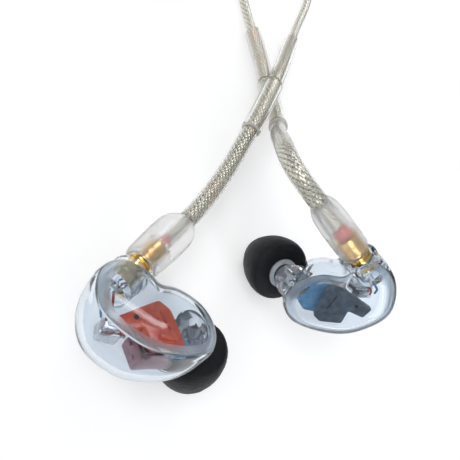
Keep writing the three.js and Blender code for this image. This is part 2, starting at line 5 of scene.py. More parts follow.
import bmesh
import bpy
import numpy as np
from mathutils import Matrix, Vector, noise
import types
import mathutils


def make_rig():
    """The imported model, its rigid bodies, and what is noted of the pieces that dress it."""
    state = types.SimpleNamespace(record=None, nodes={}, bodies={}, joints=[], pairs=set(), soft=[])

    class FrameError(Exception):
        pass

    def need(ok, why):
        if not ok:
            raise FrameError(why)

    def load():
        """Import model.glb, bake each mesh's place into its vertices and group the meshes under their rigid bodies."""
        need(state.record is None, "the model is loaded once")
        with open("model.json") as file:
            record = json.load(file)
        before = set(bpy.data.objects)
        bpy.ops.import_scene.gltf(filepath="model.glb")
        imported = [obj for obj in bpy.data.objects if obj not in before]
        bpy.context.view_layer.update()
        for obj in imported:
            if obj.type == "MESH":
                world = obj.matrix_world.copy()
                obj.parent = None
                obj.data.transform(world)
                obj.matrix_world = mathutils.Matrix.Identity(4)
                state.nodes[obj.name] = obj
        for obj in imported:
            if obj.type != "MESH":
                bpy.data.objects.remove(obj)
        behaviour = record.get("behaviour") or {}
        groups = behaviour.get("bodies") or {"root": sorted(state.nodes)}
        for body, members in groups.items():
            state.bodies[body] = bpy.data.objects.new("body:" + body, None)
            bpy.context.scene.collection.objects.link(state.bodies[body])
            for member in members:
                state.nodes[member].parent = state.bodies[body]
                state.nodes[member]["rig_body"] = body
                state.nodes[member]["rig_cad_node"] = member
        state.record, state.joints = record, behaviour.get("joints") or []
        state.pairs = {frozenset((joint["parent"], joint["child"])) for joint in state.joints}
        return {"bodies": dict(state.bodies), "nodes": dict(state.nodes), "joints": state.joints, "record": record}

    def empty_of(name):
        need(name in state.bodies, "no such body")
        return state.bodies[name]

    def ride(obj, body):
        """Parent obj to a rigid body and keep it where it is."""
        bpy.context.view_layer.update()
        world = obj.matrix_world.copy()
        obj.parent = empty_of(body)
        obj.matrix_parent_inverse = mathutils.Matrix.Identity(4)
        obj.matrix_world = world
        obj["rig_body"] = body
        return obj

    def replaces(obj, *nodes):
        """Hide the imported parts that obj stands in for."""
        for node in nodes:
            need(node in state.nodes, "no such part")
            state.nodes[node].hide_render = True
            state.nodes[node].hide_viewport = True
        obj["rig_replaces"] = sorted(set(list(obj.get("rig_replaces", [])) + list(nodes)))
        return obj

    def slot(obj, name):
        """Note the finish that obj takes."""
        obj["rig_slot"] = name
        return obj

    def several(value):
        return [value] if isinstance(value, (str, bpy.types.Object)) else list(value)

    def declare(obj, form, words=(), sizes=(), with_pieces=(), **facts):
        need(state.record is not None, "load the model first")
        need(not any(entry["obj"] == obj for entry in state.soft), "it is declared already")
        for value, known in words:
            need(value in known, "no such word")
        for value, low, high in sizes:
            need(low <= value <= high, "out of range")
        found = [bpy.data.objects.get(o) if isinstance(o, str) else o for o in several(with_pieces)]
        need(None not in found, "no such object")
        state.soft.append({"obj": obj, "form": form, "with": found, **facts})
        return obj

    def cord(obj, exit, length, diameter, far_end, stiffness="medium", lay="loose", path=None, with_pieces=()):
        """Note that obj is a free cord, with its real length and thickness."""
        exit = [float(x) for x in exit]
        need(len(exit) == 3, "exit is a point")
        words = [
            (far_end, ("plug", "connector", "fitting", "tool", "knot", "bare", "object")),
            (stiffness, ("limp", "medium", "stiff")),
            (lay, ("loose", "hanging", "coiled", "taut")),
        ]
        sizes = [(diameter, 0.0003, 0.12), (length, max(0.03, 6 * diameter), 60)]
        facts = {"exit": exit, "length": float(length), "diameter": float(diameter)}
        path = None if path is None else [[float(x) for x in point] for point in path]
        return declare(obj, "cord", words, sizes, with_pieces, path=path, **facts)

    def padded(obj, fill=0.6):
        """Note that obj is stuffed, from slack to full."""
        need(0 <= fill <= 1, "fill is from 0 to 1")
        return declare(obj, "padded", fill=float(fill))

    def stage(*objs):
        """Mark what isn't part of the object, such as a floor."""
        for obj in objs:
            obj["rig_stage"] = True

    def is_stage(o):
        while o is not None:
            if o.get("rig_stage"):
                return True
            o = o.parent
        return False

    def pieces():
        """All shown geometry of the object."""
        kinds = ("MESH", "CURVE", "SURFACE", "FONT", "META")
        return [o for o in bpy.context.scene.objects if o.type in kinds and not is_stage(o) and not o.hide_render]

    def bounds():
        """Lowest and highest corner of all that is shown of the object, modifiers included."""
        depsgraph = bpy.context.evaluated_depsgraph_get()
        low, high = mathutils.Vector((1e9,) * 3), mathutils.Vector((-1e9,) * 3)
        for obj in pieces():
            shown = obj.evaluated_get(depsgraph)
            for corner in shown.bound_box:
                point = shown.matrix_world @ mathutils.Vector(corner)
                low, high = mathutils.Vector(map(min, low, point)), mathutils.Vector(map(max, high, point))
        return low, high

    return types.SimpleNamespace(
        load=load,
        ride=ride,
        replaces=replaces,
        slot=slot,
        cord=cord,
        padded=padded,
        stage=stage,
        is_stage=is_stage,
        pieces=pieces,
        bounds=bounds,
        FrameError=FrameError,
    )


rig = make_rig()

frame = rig.load()
cad_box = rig.bounds()

MM = 0.001
CENTRE = Vector((58.15, 1.75, 0.0))  # middle of the two earpieces' footprint in the layout, mm
GAP = 0.3  # clearance between parts, mm

# ---- driving dimensions, mm, as the part has them ----
SHELL_WALL = 1.1
SHELL_FRONT = 3.8
SHELL_BACK = 10.9
SHELL_SPLIT = 1.9
SHELL_SEAM = 0.25
SHELL_CENTRE = (0.0, 0.3)
FRONT_FLATNESS = 0.22  # smaller is a flatter faceplate
FRONT_EDGE = 2.4  # larger is a tighter edge round it
BACK_FULLNESS = 3  # larger is a fuller back
SHELL_OUTLINE = [
    (10.9, 2.7), (9.4, 5.7), (6.5, 7.5), (1.8, 7.6), (-2.4, 5.9), (-5.2, 7.0), (-9.2, 6.5),
    (-11.1, 2.6), (-10.5, -2.2), (-8.1, -5.7), (-2.5, -7.3), (2.0, -6.9), (7.7, -3.8), (10.6, -0.6),
]
JACK_CENTRE = Vector((-5.7, 8.6, 0.0))
JACK_AXIS = Vector((0.258, 0.925, 0.279)).normalized()
JACK_RADIUS = 2.35
JACK_BOSS = 3.45
NOZZLE_BASE = Vector((9.3, 6.1, -4.7))
NOZZLE_AXIS = Vector((0.454, 0.173, -0.874)).normalized()
NOZZLE_RADIUS = 1.9
NOZZLE_BORE = 1.15
NOZZLE_LENGTH = 9.5
TIP_RADIUS = 6.75
TIP_LENGTH = 11.6
TIP_SEAT = 1.0
TIP_BORE = 3.1
PLUG_WIDE = 3.8
PLUG_LENGTH = 14.2
PLUG_END = 2.1
PLUG_TAIL = 0.9  # how far the moulding runs on past its length as the cable leaves it
OVAL_NEAR = 0.92  # narrow side of the moulding as a share of its wide side, by the housing
OVAL_FAR = 0.76  # and towards the cable
WIRE_D = 3.6
LOWER_SLEEVE_D = 4.5
UPPER_SLEEVE_D = 3.9
BRANCH_D = 2.3
MAIN_D = 2.5
LEAD_WIRE_D = 0.45
POSES = {
    "right": {
        "origin": (-20.45, -0.80, 15.9585), "x": (0.768, -0.611, 0.192), "y": (0.619, 0.632, -0.466),
    },
    "left": {
        "origin": (19.65, -1.45, 19.7544), "x": (-0.603, -0.118, -0.789), "y": (-0.487, 0.838, 0.247),
    },
}

# ---- cable routes, mm, as the part has them ----
WIRE_ROUTE = {
    "right": [
        (62.3, 28.0, 7.6), (67.3, 33.8, 7.7), (72.0, 39.6, 7.9), (76.3, 45.0, 8.0), (80.1, 50.1, 8.0),
        (84.0, 55.2, 7.7), (88.6, 60.7, 6.2), (93.6, 66.6, 4.2), (98.5, 72.3, 2.4),
    ],
    "left": [
        (61.5, 21.3, 29.1), (61.0, 24.9, 27.9), (62.6, 27.9, 25.9), (65.5, 30.6, 22.9), (69.5, 34.0, 18.6),
        (74.0, 37.2, 14.4), (78.5, 40.1, 10.4), (82.8, 43.4, 6.5), (85.3, 49.0, 3.7), (85.5, 55.0, 2.5),
        (85.4, 60.4, 2.35), (84.9, 66.0, 2.15), (83.9, 71.4, 2.05),
    ],
}
# From and to, shares of the formed wire. The upper sleeve runs from there to the wire's end.
LOWER_SLEEVE = {"right": (0.405, 0.647), "left": (0.54, 0.806)}
BRANCH_ROUTE = {
    "right": [
        (98.85, 72.7, 2.3), (102.2, 77.2, 1.5), (105.6, 81.8, 1.25), (108.6, 86.2, 1.25),
        (111.2, 91.0, 1.25), (112.8, 96.2, 1.25), (113.3, 101.6, 1.25), (112.7, 107.0, 1.6),
    ],
    "left": [
        (83.82, 71.85, 2.0), (83.6, 77.0, 1.4), (83.2, 82.0, 1.25), (82.9, 87.0, 1.25), (83.3, 92.0, 1.25),
        (84.6, 97.0, 1.4), (86.6, 100.9, 1.9), (88.5, 102.9, 2.3),
    ],
}
TAIL_ROUTE = {
    "right": [(88.1, 132.0, 8.4), (84.8, 132.0, 7.7), (81.0, 132.0, 5.4), (77.0, 132.0, 3.2),
              (73.0, 132.0, 2.5), (66.0, 132.0, 2.4), (57.2, 132.0, 2.4)],
    "left": [(85.6, 129.7, 8.7), (82.4, 129.7, 7.4), (79.4, 129.7, 5.3), (76.4, 129.7, 3.4),
             (73.0, 129.7, 2.6), (66.0, 129.7, 2.4), (57.2, 129.7, 2.4)],
}
BRANCH_COIL = {"centre": (97.0, 118.0), "inner": 10.5, "outer": 15.2, "base": 1.15, "top": 9.8}
MAIN_COIL = {"centre": (58.0, 103.0), "inner": 9.7, "outer": 20.1, "base": 1.15, "top": 11.45}
MAIN_COIL_RADIUS = 18.8  # of its outermost turn, to the cable's middle
MAIN_ROUTE = [
    (42.7, 130.85, 2.4), (40.2, 130.6, 2.2), (37.6, 129.2, 1.8), (36.0, 126.6, 1.5),
    (35.5, 123.0, 1.4), (35.5, 118.6, 1.6), (35.8, 113.6, 2.0), (36.2, 109.0, 2.3),
]
PLUG_START = Vector((68.4, 109.8, 16.7))


# ---- geometry helpers ----
def placed(point):
    """A point of the layout, mm, in the frame's metres."""
    return (Vector(point) - CENTRE) * MM


def side_matrix(side):
    """Local millimetres of one earpiece to metres in the frame. The left one is mirrored in z."""
    pose = POSES[side]
    x = Vector(pose["x"]).normalized()
    y = Vector(pose["y"])
    y = (y - x * x.dot(y)).normalized()
    z = x.cross(y) * (-1 if side == "left" else 1)
    m = Matrix((x, y, z)).transposed() * MM
    return Matrix.Translation(Vector(pose["origin"]) * MM) @ m.to_4x4()


def new_object(name, mesh):
    o = bpy.data.objects.new(name, mesh)
    bpy.context.scene.collection.objects.link(o)
    return o


def from_faces(name, points, faces, uvs=None):
    mesh = bpy.data.meshes.new(name)
    mesh.from_pydata([tuple(p) for p in points], [], faces)
    if uvs is not None:
        layer = mesh.uv_layers.new(name="along")
        layer.data.foreach_set("uv", np.asarray(uvs, np.float32).ravel())
    mesh.validate()
    return new_object(name, mesh)


def outward(o):
    """Makes a closed mesh's faces point out."""
    bm = bmesh.new()
    bm.from_mesh(o.data)
    bmesh.ops.recalc_face_normals(bm, faces=bm.faces)
    if bm.calc_volume(signed=True) < 0:
        bmesh.ops.reverse_faces(bm, faces=bm.faces)
    bm.to_mesh(o.data)
    bm.free()
    return o


def smoothed(o, angle=38):
    """Shades smooth, except over edges sharper than an angle in degrees."""
    o.data.shade_smooth()
    o.data.set_sharp_from_angle(angle=math.radians(angle))
    return o


def rounded(profile, radius, steps=3, loop=False):
    """The profile with a small arc at each corner."""
    pts = [Vector(p) for p in profile]
    out = []
    count = len(pts)
    for i, p in enumerate(pts):
        if not loop and i in (0, count - 1):
            out.append(p)
            continue
        before, after = pts[i - 1] - p, pts[(i + 1) % count] - p
        r = min(radius, before.length * 0.45, after.length * 0.45)
        a, b = p + before.normalized() * r, p + after.normalized() * r
        for k in range(steps + 1):
            t = k / steps
            out.append(a * (1 - t) ** 2 + p * 2 * t * (1 - t) + b * t * t)
    return out


def lathe(name, profile, origin, axis, matrix, segments=64, squeeze=lambda along, radius: (1.0, 1.0)):
    """Turns a profile of (along, radius) round an axis. A closed profile makes a tube."""
    axis = Vector(axis).normalized()
    turn = Vector((0, 1, 0)).rotation_difference(axis).to_matrix()
    ring_closed = (Vector(profile[0]) - Vector(profile[-1])).length < 1e-6
    rows = profile[:-1] if ring_closed else profile
    points, index = [], []
    for along, radius in rows:
        if radius < 1e-6:
            index.append([len(points)] * segments)
            points.append(Vector((0, along, 0)))
            continue
        index.append(list(range(len(points), len(points) + segments)))
        wide, deep = squeeze(along, radius)
        for i in range(segments):
            a = 2 * math.pi * i / segments
            points.append(Vector((radius * wide * math.sin(a), along, radius * deep * math.cos(a))))
    faces = []
    last = len(rows) if ring_closed else len(rows) - 1
    for r in range(last):
        a, b = index[r], index[(r + 1) % len(rows)]
        for i in range(segments):
            j = (i + 1) % segments
            face = list(dict.fromkeys((a[i], a[j], b[j], b[i])))
            if len(face) > 2:
                faces.append(face)
    world = [matrix @ (Vector(origin) + turn @ p) for p in points]
    return smoothed(outward(from_faces(name, world, faces)))


def catmull(points, step):
    """Points about a step apart on a centripetal Catmull-Rom curve through the given ones."""
    pts = [Vector(p) for p in points]
    pts = [pts[0] * 2 - pts[1]] + pts + [pts[-1] * 2 - pts[-2]]
    out = []
    for i in range(1, len(pts) - 2):
        p0, p1, p2, p3 = pts[i - 1:i + 3]
        t0 = 0.0
        t1 = t0 + (p1 - p0).length ** 0.5
        t2 = t1 + (p2 - p1).length ** 0.5
        t3 = t2 + (p3 - p2).length ** 0.5
        count = max(2, round((p2 - p1).length / step))
        for k in range(count):
            t = t1 + (t2 - t1) * k / count
            a1 = p0 * ((t1 - t) / (t1 - t0)) + p1 * ((t - t0) / (t1 - t0))
            a2 = p1 * ((t2 - t) / (t2 - t1)) + p2 * ((t - t1) / (t2 - t1))
            a3 = p2 * ((t3 - t) / (t3 - t2)) + p3 * ((t - t2) / (t3 - t2))
            b1 = a1 * ((t2 - t) / (t2 - t0)) + a2 * ((t - t0) / (t2 - t0))
            b2 = a2 * ((t3 - t) / (t3 - t1)) + a3 * ((t - t1) / (t3 - t1))
            out.append(b1 * ((t2 - t) / (t2 - t1)) + b2 * ((t - t1) / (t2 - t1)))
    out.append(pts[-2])
    return out


def lengths(path):
    """The distance along a path at each of its points."""
    run = [0.0]
    for a, b in zip(path, path[1:]):
        run.append(run[-1] + (b - a).length)
    return run


def shares(path):
    """The share of a path's length at each of its points."""
    run = lengths(path)
    return [r / run[-1] for r in run]


def part_of(path, low, high, trim=0.1):
    """The stretch of a path between its points nearest two shares, each end drawn in by a part of
    one step, so that stretches which share an end meet without touching."""
    at = shares(path)
    first, last = (min(range(len(at)), key=lambda i: abs(at[i] - share)) for share in (low, high))
    part = path[first:last + 1]
    return [part[0].lerp(part[1], trim), *part[1:-1], part[-1].lerp(part[-2], trim)]


def sweep(name, path, radius, sides=14, bore=None):
    """A round tube along a path, its ends closed or, with a bore, open right through. The radius is a
    number or a function of the share of the length. Its map holds the distance along it in metres
    and the share of a turn round it."""
    radii = [radius(s) for s in shares(path)] if callable(radius) else [radius] * len(path)
    run = lengths(path)
    around = zip([path[0], *path[:-1]], [*path[1:], path[-1]])
    tangents = [(after - before).normalized() for before, after in around]
    normal = tangents[0].orthogonal().normalized()
    points = []
    for i, (p, t) in enumerate(zip(path, tangents)):
        normal = (normal - t * normal.dot(t)).normalized()
        other = t.cross(normal)
        for r in ([radii[i]] if bore is None else [radii[i], bore]):
            for k in range(sides):
                a = 2 * math.pi * k / sides
                points.append(p + (normal * math.cos(a) + other * math.sin(a)) * r)
    width = sides if bore is None else 2 * sides
    faces, uvs = [], []

    def quad(a, b, ua, ub, k, flip):
        n = (k + 1) % sides
        corners = [(a + k, (ua, k / sides)), (a + n, (ua, (k + 1) / sides)),
                   (b + n, (ub, (k + 1) / sides)), (b + k, (ub, k / sides))]
        if flip:
            corners.reverse()
        faces.append([c[0] for c in corners])
        uvs.extend(c[1] for c in corners)

    for i in range(len(path) - 1):
        for k in range(sides):
            quad(i * width, (i + 1) * width, run[i], run[i + 1], k, False)
            if bore is not None:
                quad(i * width + sides, (i + 1) * width + sides, run[i], run[i + 1], k, True)
    last = (len(path) - 1) * width
    if bore is None:
        for base, at in ((0, 0.0), (last, run[-1])):
            faces.append([base + k for k in range(sides)])
            uvs.extend((at, k / sides) for k in range(sides))
    else:
        for k in range(sides):
            quad(0, sides, 0.0, 0.0, k, True)
            quad(last, last + sides, run[-1], run[-1], k, False)
    return smoothed(outward(from_faces(name, points, faces, uvs)), 50)


def prism(name, outline, low, high, matrix, edge=0.3, corner=0.4):
    """An outline in x and y between two heights, with rounded corners and edges."""
    ring = [Vector((p[0], p[1])) for p in rounded(outline, corner, 3, loop=True)]
    bm = bmesh.new()
    bottom = [bm.verts.new((p.x, p.y, low)) for p in ring]
    face = bm.faces.new(bottom)
    made = bmesh.ops.extrude_face_region(bm, geom=[face])
    for v in [g for g in made["geom"] if isinstance(g, bmesh.types.BMVert)]:
        v.co.z = high
    rims = [e for e in bm.edges if abs(e.verts[0].co.z - e.verts[1].co.z) < 1e-6]
    bmesh.ops.bevel(bm, geom=rims, offset=edge, segments=3, profile=0.5, affect="EDGES")
    bm.transform(matrix)
    mesh = bpy.data.meshes.new(name)
    bm.to_mesh(mesh)
    bm.free()
    return smoothed(outward(new_object(name, mesh)))


def rectangle(wide, deep):
    return [(-wide / 2, -deep / 2), (wide / 2, -deep / 2), (wide / 2, deep / 2), (-wide / 2, deep / 2)]


def boolean(target, tool, operation):
    """Cuts or joins one closed mesh with another and removes the tool."""
    mod = target.modifiers.new("cut", "BOOLEAN")
    mod.operation = operation
    mod.solver = "MANIFOLD"
    mod.object = tool
    graph = bpy.context.evaluated_depsgraph_get()
    mesh = bpy.data.meshes.new_from_object(target.evaluated_get(graph))
    target.modifiers.clear()
    target.data = mesh
    bpy.data.objects.remove(tool)
    return target


def joined(name, parts):
    """One object of several closed meshes that belong to one piece."""
    bm = bmesh.new()
    for o in parts:
        bm.from_mesh(o.data)
    mesh = bpy.data.meshes.new(name)
    bm.to_mesh(mesh)
    bm.free()
    for o in parts:
        bpy.data.objects.remove(o)
    return smoothed(new_object(name, mesh))


# ---- materials ----
class Look:
    """A material under construction: a Principled shader and short ways to add nodes."""

    def __init__(self, name, **values):
        self.material = bpy.data.materials.new(name)
        self.material.use_nodes = True
        self.tree = self.material.node_tree
        self.shader = self.tree.nodes["Principled BSDF"]
        for key, value in values.items():
            socket = self.shader.inputs[key.replace("_", " ")]
            socket.default_value = (*value, 1.0) if socket.type == "RGBA" else value

    def node(self, kind, inputs=None, **settings):
        n = self.tree.nodes.new("ShaderNode" + kind)
        for key, value in settings.items():
            setattr(n, key, value)
        for key, value in (inputs or {}).items():
            if isinstance(value, bpy.types.NodeSocket):
                self.tree.links.new(value, n.inputs[key])
            else:
                n.inputs[key].default_value = value
        return n

    def place(self):
        return self.node("TexCoord").outputs["Object"]

    def grain(self, scale, detail=2.0):
        n = self.node("TexNoise", {"Vector": self.place(), "Scale": scale, "Detail": detail})
        return n.outputs["Fac"]

    def maths(self, operation, a, b=0.0):
        return self.node("Math", {0: a, 1: b}, operation=operation).outputs[0]

    def ramp(self, fac, stops):
        n = self.node("ValToRGB", {"Fac": fac})
        cells = n.color_ramp.elements
        while len(cells) < len(stops):
            cells.new(0.5)
        for cell, (at, colour) in zip(cells, stops):
            cell.position = at
            cell.color = (*colour, 1.0)
        return n.outputs["Color"]

    def link(self, output, name):
        self.tree.links.new(output, self.shader.inputs[name])
        return self

    def rough(self, fac, low, high):
        n = self.node("MapRange", {"Value": fac, "To Min": low, "To Max": high})
        return self.link(n.outputs["Result"], "Roughness")

    def bump(self, height, strength, distance):
        n = self.node("Bump", {"Height": height, "Strength": strength, "Distance": distance * MM})
        return self.link(n.outputs["Normal"], "Normal")


def clear_look(name, tint, low, high, grain, depth, ior, transmission, milk=0.0):
    """Clear or milky plastic, its roughness and surface a little uneven."""
    look = Look(name, Transmission_Weight=transmission, IOR=ior, Subsurface_Weight=milk,
                Subsurface_Radius=(1.0, 1.0, 1.0), Subsurface_Scale=1.5 * MM)
    noise_fac = look.grain(grain, 3.0)
    look.link(look.ramp(noise_fac, [(0.3, tuple(c * 0.985 for c in tint)), (0.7, tint)]), "Base Color")
    look.rough(noise_fac, low, high)
    return look.bump(look.grain(grain * 0.6, 1.0), 0.25, depth).material


SHELL_IOR = 1.36


def shell_look():
    """Polished clear plastic with a light cool tint. Its base colour is darkened to grey blue where the wall is seen
    edge on: painted dark edges, in place of the dark rims that refraction shows.
    """
    look = Look("clear_shell", Transmission_Weight=1.0, IOR=SHELL_IOR)
    # painted dark edges: the facing ramp darkens the base colour towards grazing view
    edge = look.node("LayerWeight", {"Blend": 0.35}).outputs["Facing"]
    look.link(look.ramp(edge, [(0.2, (0.865, 0.915, 0.965)), (0.9, (0.36, 0.45, 0.56))]), "Base Color")
    haze = look.grain(220.0, 3.0)
    look.rough(haze, 0.0, 0.035)
    return look.bump(look.grain(130.0, 1.0), 0.3, 0.03).material


def metal_look(name, dark, light, low, high, grain=900.0):
    look = Look(name, Metallic=1.0)
    fac = look.grain(grain, 4.0)
    look.link(look.ramp(fac, [(0.25, dark), (0.75, light)]), "Base Color")
    return look.rough(fac, low, high).bump(look.grain(grain * 3, 2.0), 0.15, 0.02).material


def plastic_look(name, dark, light, low, high, grain=700.0, depth=0.03, **values):
    look = Look(name, **values)
    fac = look.grain(grain, 4.0)
    look.link(look.ramp(fac, [(0.3, dark), (0.7, light)]), "Base Color")
    return look.rough(fac, low, high).bump(look.grain(grain * 4, 2.0), 0.3, depth).material


def foam_look():
    """Near-black foam with fine pores."""
    look = Look("foam", Sheen_Weight=0.02, Sheen_Roughness=0.4, Specular_IOR_Level=0.22)
    cells = look.node("TexVoronoi", {"Vector": look.place(), "Scale": 3400.0}, feature="F1")
    pores = look.maths("MULTIPLY_ADD", cells.outputs["Distance"], 0.8)
    blotch = look.grain(500.0, 5.0)
    tint = look.ramp(blotch, [(0.3, (0.004, 0.0045, 0.006)), (0.75, (0.011, 0.012, 0.015))])
    look.link(tint, "Base Color")
    look.rough(blotch, 0.42, 0.65)
    return look.bump(look.maths("ADD", pores, blotch), 0.55, 0.12).material


def strand_look(name, light, dark, blush, pitch, lays):
    """Silvery strands laid in two crossing helices: the map's u is metres, its v share of a turn."""
    look = Look(name, Metallic=0.55, Coat_Weight=0.6, Coat_Roughness=0.12)
    uv = look.node("UVMap", uv_map="along").outputs["UV"]
    parts = look.node("SeparateXYZ", {"Vector": uv})
    along = look.maths("DIVIDE", parts.outputs["X"], pitch * MM)
    waves = []
    for hand in (1, -1):
        around = look.maths("MULTIPLY", parts.outputs["Y"], float(lays * hand))
        phase = look.maths("MULTIPLY", look.maths("ADD", along, around), 2 * math.pi)
        waves.append(look.maths("ABSOLUTE", look.maths("SINE", phase)))
    weave = look.maths("MULTIPLY", waves[0], look.maths("ADD", waves[1], 0.4))
    base = look.ramp(weave, [(0.05, dark), (0.55, light)])
    patch = look.ramp(look.grain(160.0, 2.0), [(0.56, (0.0, 0.0, 0.0)), (0.78, (0.8, 0.8, 0.8))])
    mix = look.node("Mix", {"Factor": patch}, data_type="RGBA")
    first, second = [socket for socket in mix.inputs if socket.type == "RGBA"]
    look.tree.links.new(base, first)
    second.default_value = (*blush, 1.0)
    look.link(next(socket for socket in mix.outputs if socket.type == "RGBA"), "Base Color")
    look.rough(weave, 0.45, 0.22)
    return look.bump(weave, 0.6, 0.12).material


MATERIALS = {
    "shell": shell_look(),
    "bond": plastic_look("bond_line", (0.72, 0.80, 0.88), (0.88, 0.92, 0.96), 0.3, 0.5,
                         Transmission_Weight=0.85, IOR=SHELL_IOR),
    "haze": clear_look("moulded_haze", (0.88, 0.93, 0.975), 0.10, 0.22, 300.0, 0.03, 1.22, 0.82),
    "rim": plastic_look("sleeve_rim", (0.48, 0.47, 0.43), (0.60, 0.59, 0.54), 0.4, 0.6),
    "frosted": clear_look("frosted_moulding", (0.97, 0.97, 0.955), 0.23, 0.37, 380.0, 0.05, 1.28, 0.93, 0.3),
    "sleeve": clear_look("clear_sleeve", (0.93, 0.925, 0.90), 0.02, 0.07, 300.0, 0.03, 1.14, 0.98),
    "sheath": clear_look("wire_sheath", (0.93, 0.925, 0.90), 0.10, 0.19, 300.0, 0.03, 1.2, 0.97),
    "gold": metal_look("gold_plate", (0.70, 0.43, 0.12), (0.96, 0.70, 0.30), 0.12, 0.24),
    "steel": metal_look("steel_can", (0.46, 0.47, 0.49), (0.68, 0.69, 0.71), 0.2, 0.38),
    "mauve": metal_look("driver_can", (0.13, 0.055, 0.075), (0.30, 0.14, 0.17), 0.22, 0.4),
    "red": plastic_look("carrier_red", (0.58, 0.035, 0.008), (0.86, 0.11, 0.03), 0.22, 0.4, Coat_Weight=0.4),
    "slate": plastic_look("carrier_slate", (0.055, 0.075, 0.10), (0.13, 0.17, 0.21), 0.25, 0.45,
                          Coat_Weight=0.3),
    "blue": plastic_look("board_blue", (0.12, 0.30, 0.52), (0.26, 0.52, 0.78), 0.3, 0.5),
    "white": plastic_look("white_insulator", (0.72, 0.71, 0.67), (0.84, 0.83, 0.79), 0.4, 0.6),
    "core": plastic_look("tip_core", (0.34, 0.37, 0.39), (0.52, 0.55, 0.57), 0.3, 0.5, Coat_Weight=0.2),
    "strap": plastic_look("tie_strap", (0.018, 0.018, 0.02), (0.045, 0.045, 0.05), 0.55, 0.8, 500.0, 0.08),
    "enamel_red": plastic_look("enamel_red", (0.34, 0.03, 0.02), (0.55, 0.07, 0.04), 0.2, 0.35,
                               Coat_Weight=0.5),
    "enamel_blue": plastic_look("enamel_blue", (0.04, 0.12, 0.34), (0.08, 0.24, 0.5), 0.2, 0.35,
                                Coat_Weight=0.5),
    # near-black fill for the carrier's vent hole: painted shade
    "dark": plastic_look("vent_dark", (0.006, 0.006, 0.007), (0.02, 0.02, 0.022), 0.5, 0.8),
    "blush": plastic_look("solder_blush", (0.74, 0.14, 0.14), (0.86, 0.34, 0.32), 0.3, 0.5),
    "foam": foam_look(),
    "strand": strand_look("braided_strands", (0.86, 0.84, 0.75), (0.20, 0.19, 0.15), (0.82, 0.54, 0.46),
                          2.6, 5),
    "thin_strand": strand_look("branch_strands", (0.80, 0.78, 0.69), (0.11, 0.105, 0.085),
                               (0.80, 0.54, 0.46), 3.0, 3),
}


def dressed(o, look, body, slot=None, stands_for=()):
    o.data.materials.clear()
    o.data.materials.append(MATERIALS[look])
    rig.ride(o, body)
    if slot:
        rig.slot(o, slot)
    if stands_for:
        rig.replaces(o, *stands_for)
    return o


# ---- camera ----
FOCAL = 38.35
CAMERA_AT = Vector((-0.05815, -0.00175, 0.083))
CAMERA_RIGHT = Vector((0.77769, -0.13902, 0.61308))
CAMERA_BACK = Vector((-0.62864, -0.17198, 0.75844))


def add_camera():
    data = bpy.data.cameras.new("camera")
    data.lens = FOCAL
    data.sensor_width = 36.0
    data.clip_start = 0.005
    data.clip_end = 20.0
    cam = bpy.data.objects.new("camera", data)
    back = CAMERA_BACK.normalized()
    right = (CAMERA_RIGHT - back * back.dot(CAMERA_RIGHT)).normalized()
    turn = Matrix((right, back.cross(right), back)).transposed()
    cam.matrix_world = Matrix.Translation(CAMERA_AT) @ turn.to_4x4()
    bpy.context.scene.collection.objects.link(cam)
    bpy.context.scene.camera = cam


# ---- cable ----
WIRE_EASING = 60  # rounds of averaging that take the small kinks out of a formed wire
WIRE_STEP = 0.5  # between points along a formed wire, mm


def wire_path(side):
    """The formed wire's centreline from the connector to the end of its sleeves, in metres."""
    m = side_matrix(side)
    start = m @ (JACK_CENTRE + JACK_AXIS * (PLUG_LENGTH + PLUG_TAIL + 2.2 * GAP))
    ahead = m @ (JACK_CENTRE + JACK_AXIS * (PLUG_LENGTH + 4.5))
    path = catmull([start, ahead, *(placed(p) for p in WIRE_ROUTE[side])], WIRE_STEP * MM)
    for _ in range(WIRE_EASING):
        path = path[:2] + [(a + b * 2 + c) / 4 for a, b, c in zip(path[1:], path[2:], path[3:])] + path[-1:]
    return path


def coil_turns(coil, radius_at, height_at, start, turns, per_turn=36):
    """Points on a coil: its radius and height come from the number of turns already made."""
    cx, cy = coil["centre"]
    points = []
    for i in range(int(turns * per_turn) + 1):
        n = i / per_turn
        a = math.radians(start) + 2 * math.pi * n
        r = radius_at(n)
        points.append(placed((cx + r * math.cos(a), cy + r * math.sin(a), height_at(n))))
    return points


def branch_turns(side):
    """Each branch climbs from the table to the top of its own column of turns."""
    low, high = 2.45, 8.45
    radius, start, turns = (11.65, -90, 2.5) if side == "left" else (14.0, 0, 2.25)
    return coil_turns(BRANCH_COIL, lambda n: radius, lambda n: low + (high - low) * n / turns, start, turns)


def main_turns():
    """Three turns inwards, then a layer up and three outwards, and so on for four layers."""
    pitch, layer_turns, layers, base, lift = 2.6, 3, 4, 2.4, 2.55
    step_up = 0.35  # the last share of a turn, in which the cable climbs to the next layer

    def radius(n):
        k, rest = divmod(n, layer_turns)
        inwards = MAIN_COIL_RADIUS - pitch * rest
        return inwards if k % 2 == 0 else MAIN_COIL_RADIUS - pitch * (layer_turns - rest)

    def height(n):
        k = min(n // layer_turns, layers)
        rest = n - k * layer_turns
        climb = max(0.0, (rest - layer_turns + step_up) / step_up) if k < layers - 1 else 0.0
        return base + lift * (min(k, layers - 1) + climb)

    return coil_turns(MAIN_COIL, radius, height, 180, layer_turns * layers)


def plug_lead_points():
    """The lead from the top of the coil, part of a turn round it and then across to the plug."""
    cx, cy = MAIN_COIL["centre"]
    r, height = MAIN_COIL_RADIUS, 13.0
    points = []
    for degrees in range(200, 346, 29):
        a = math.radians(degrees)
        points.append(placed((cx + r * math.cos(a), cy + r * math.sin(a), height)))
    corners = [(76.8, 102.4, 13.4), (75.8, 106.4, 14.1), (73.2, 108.9, 14.8), (70.2, 109.8, 16.7),
               (68.7, 109.8, 16.7)]
    return points + [placed(p) for p in corners]


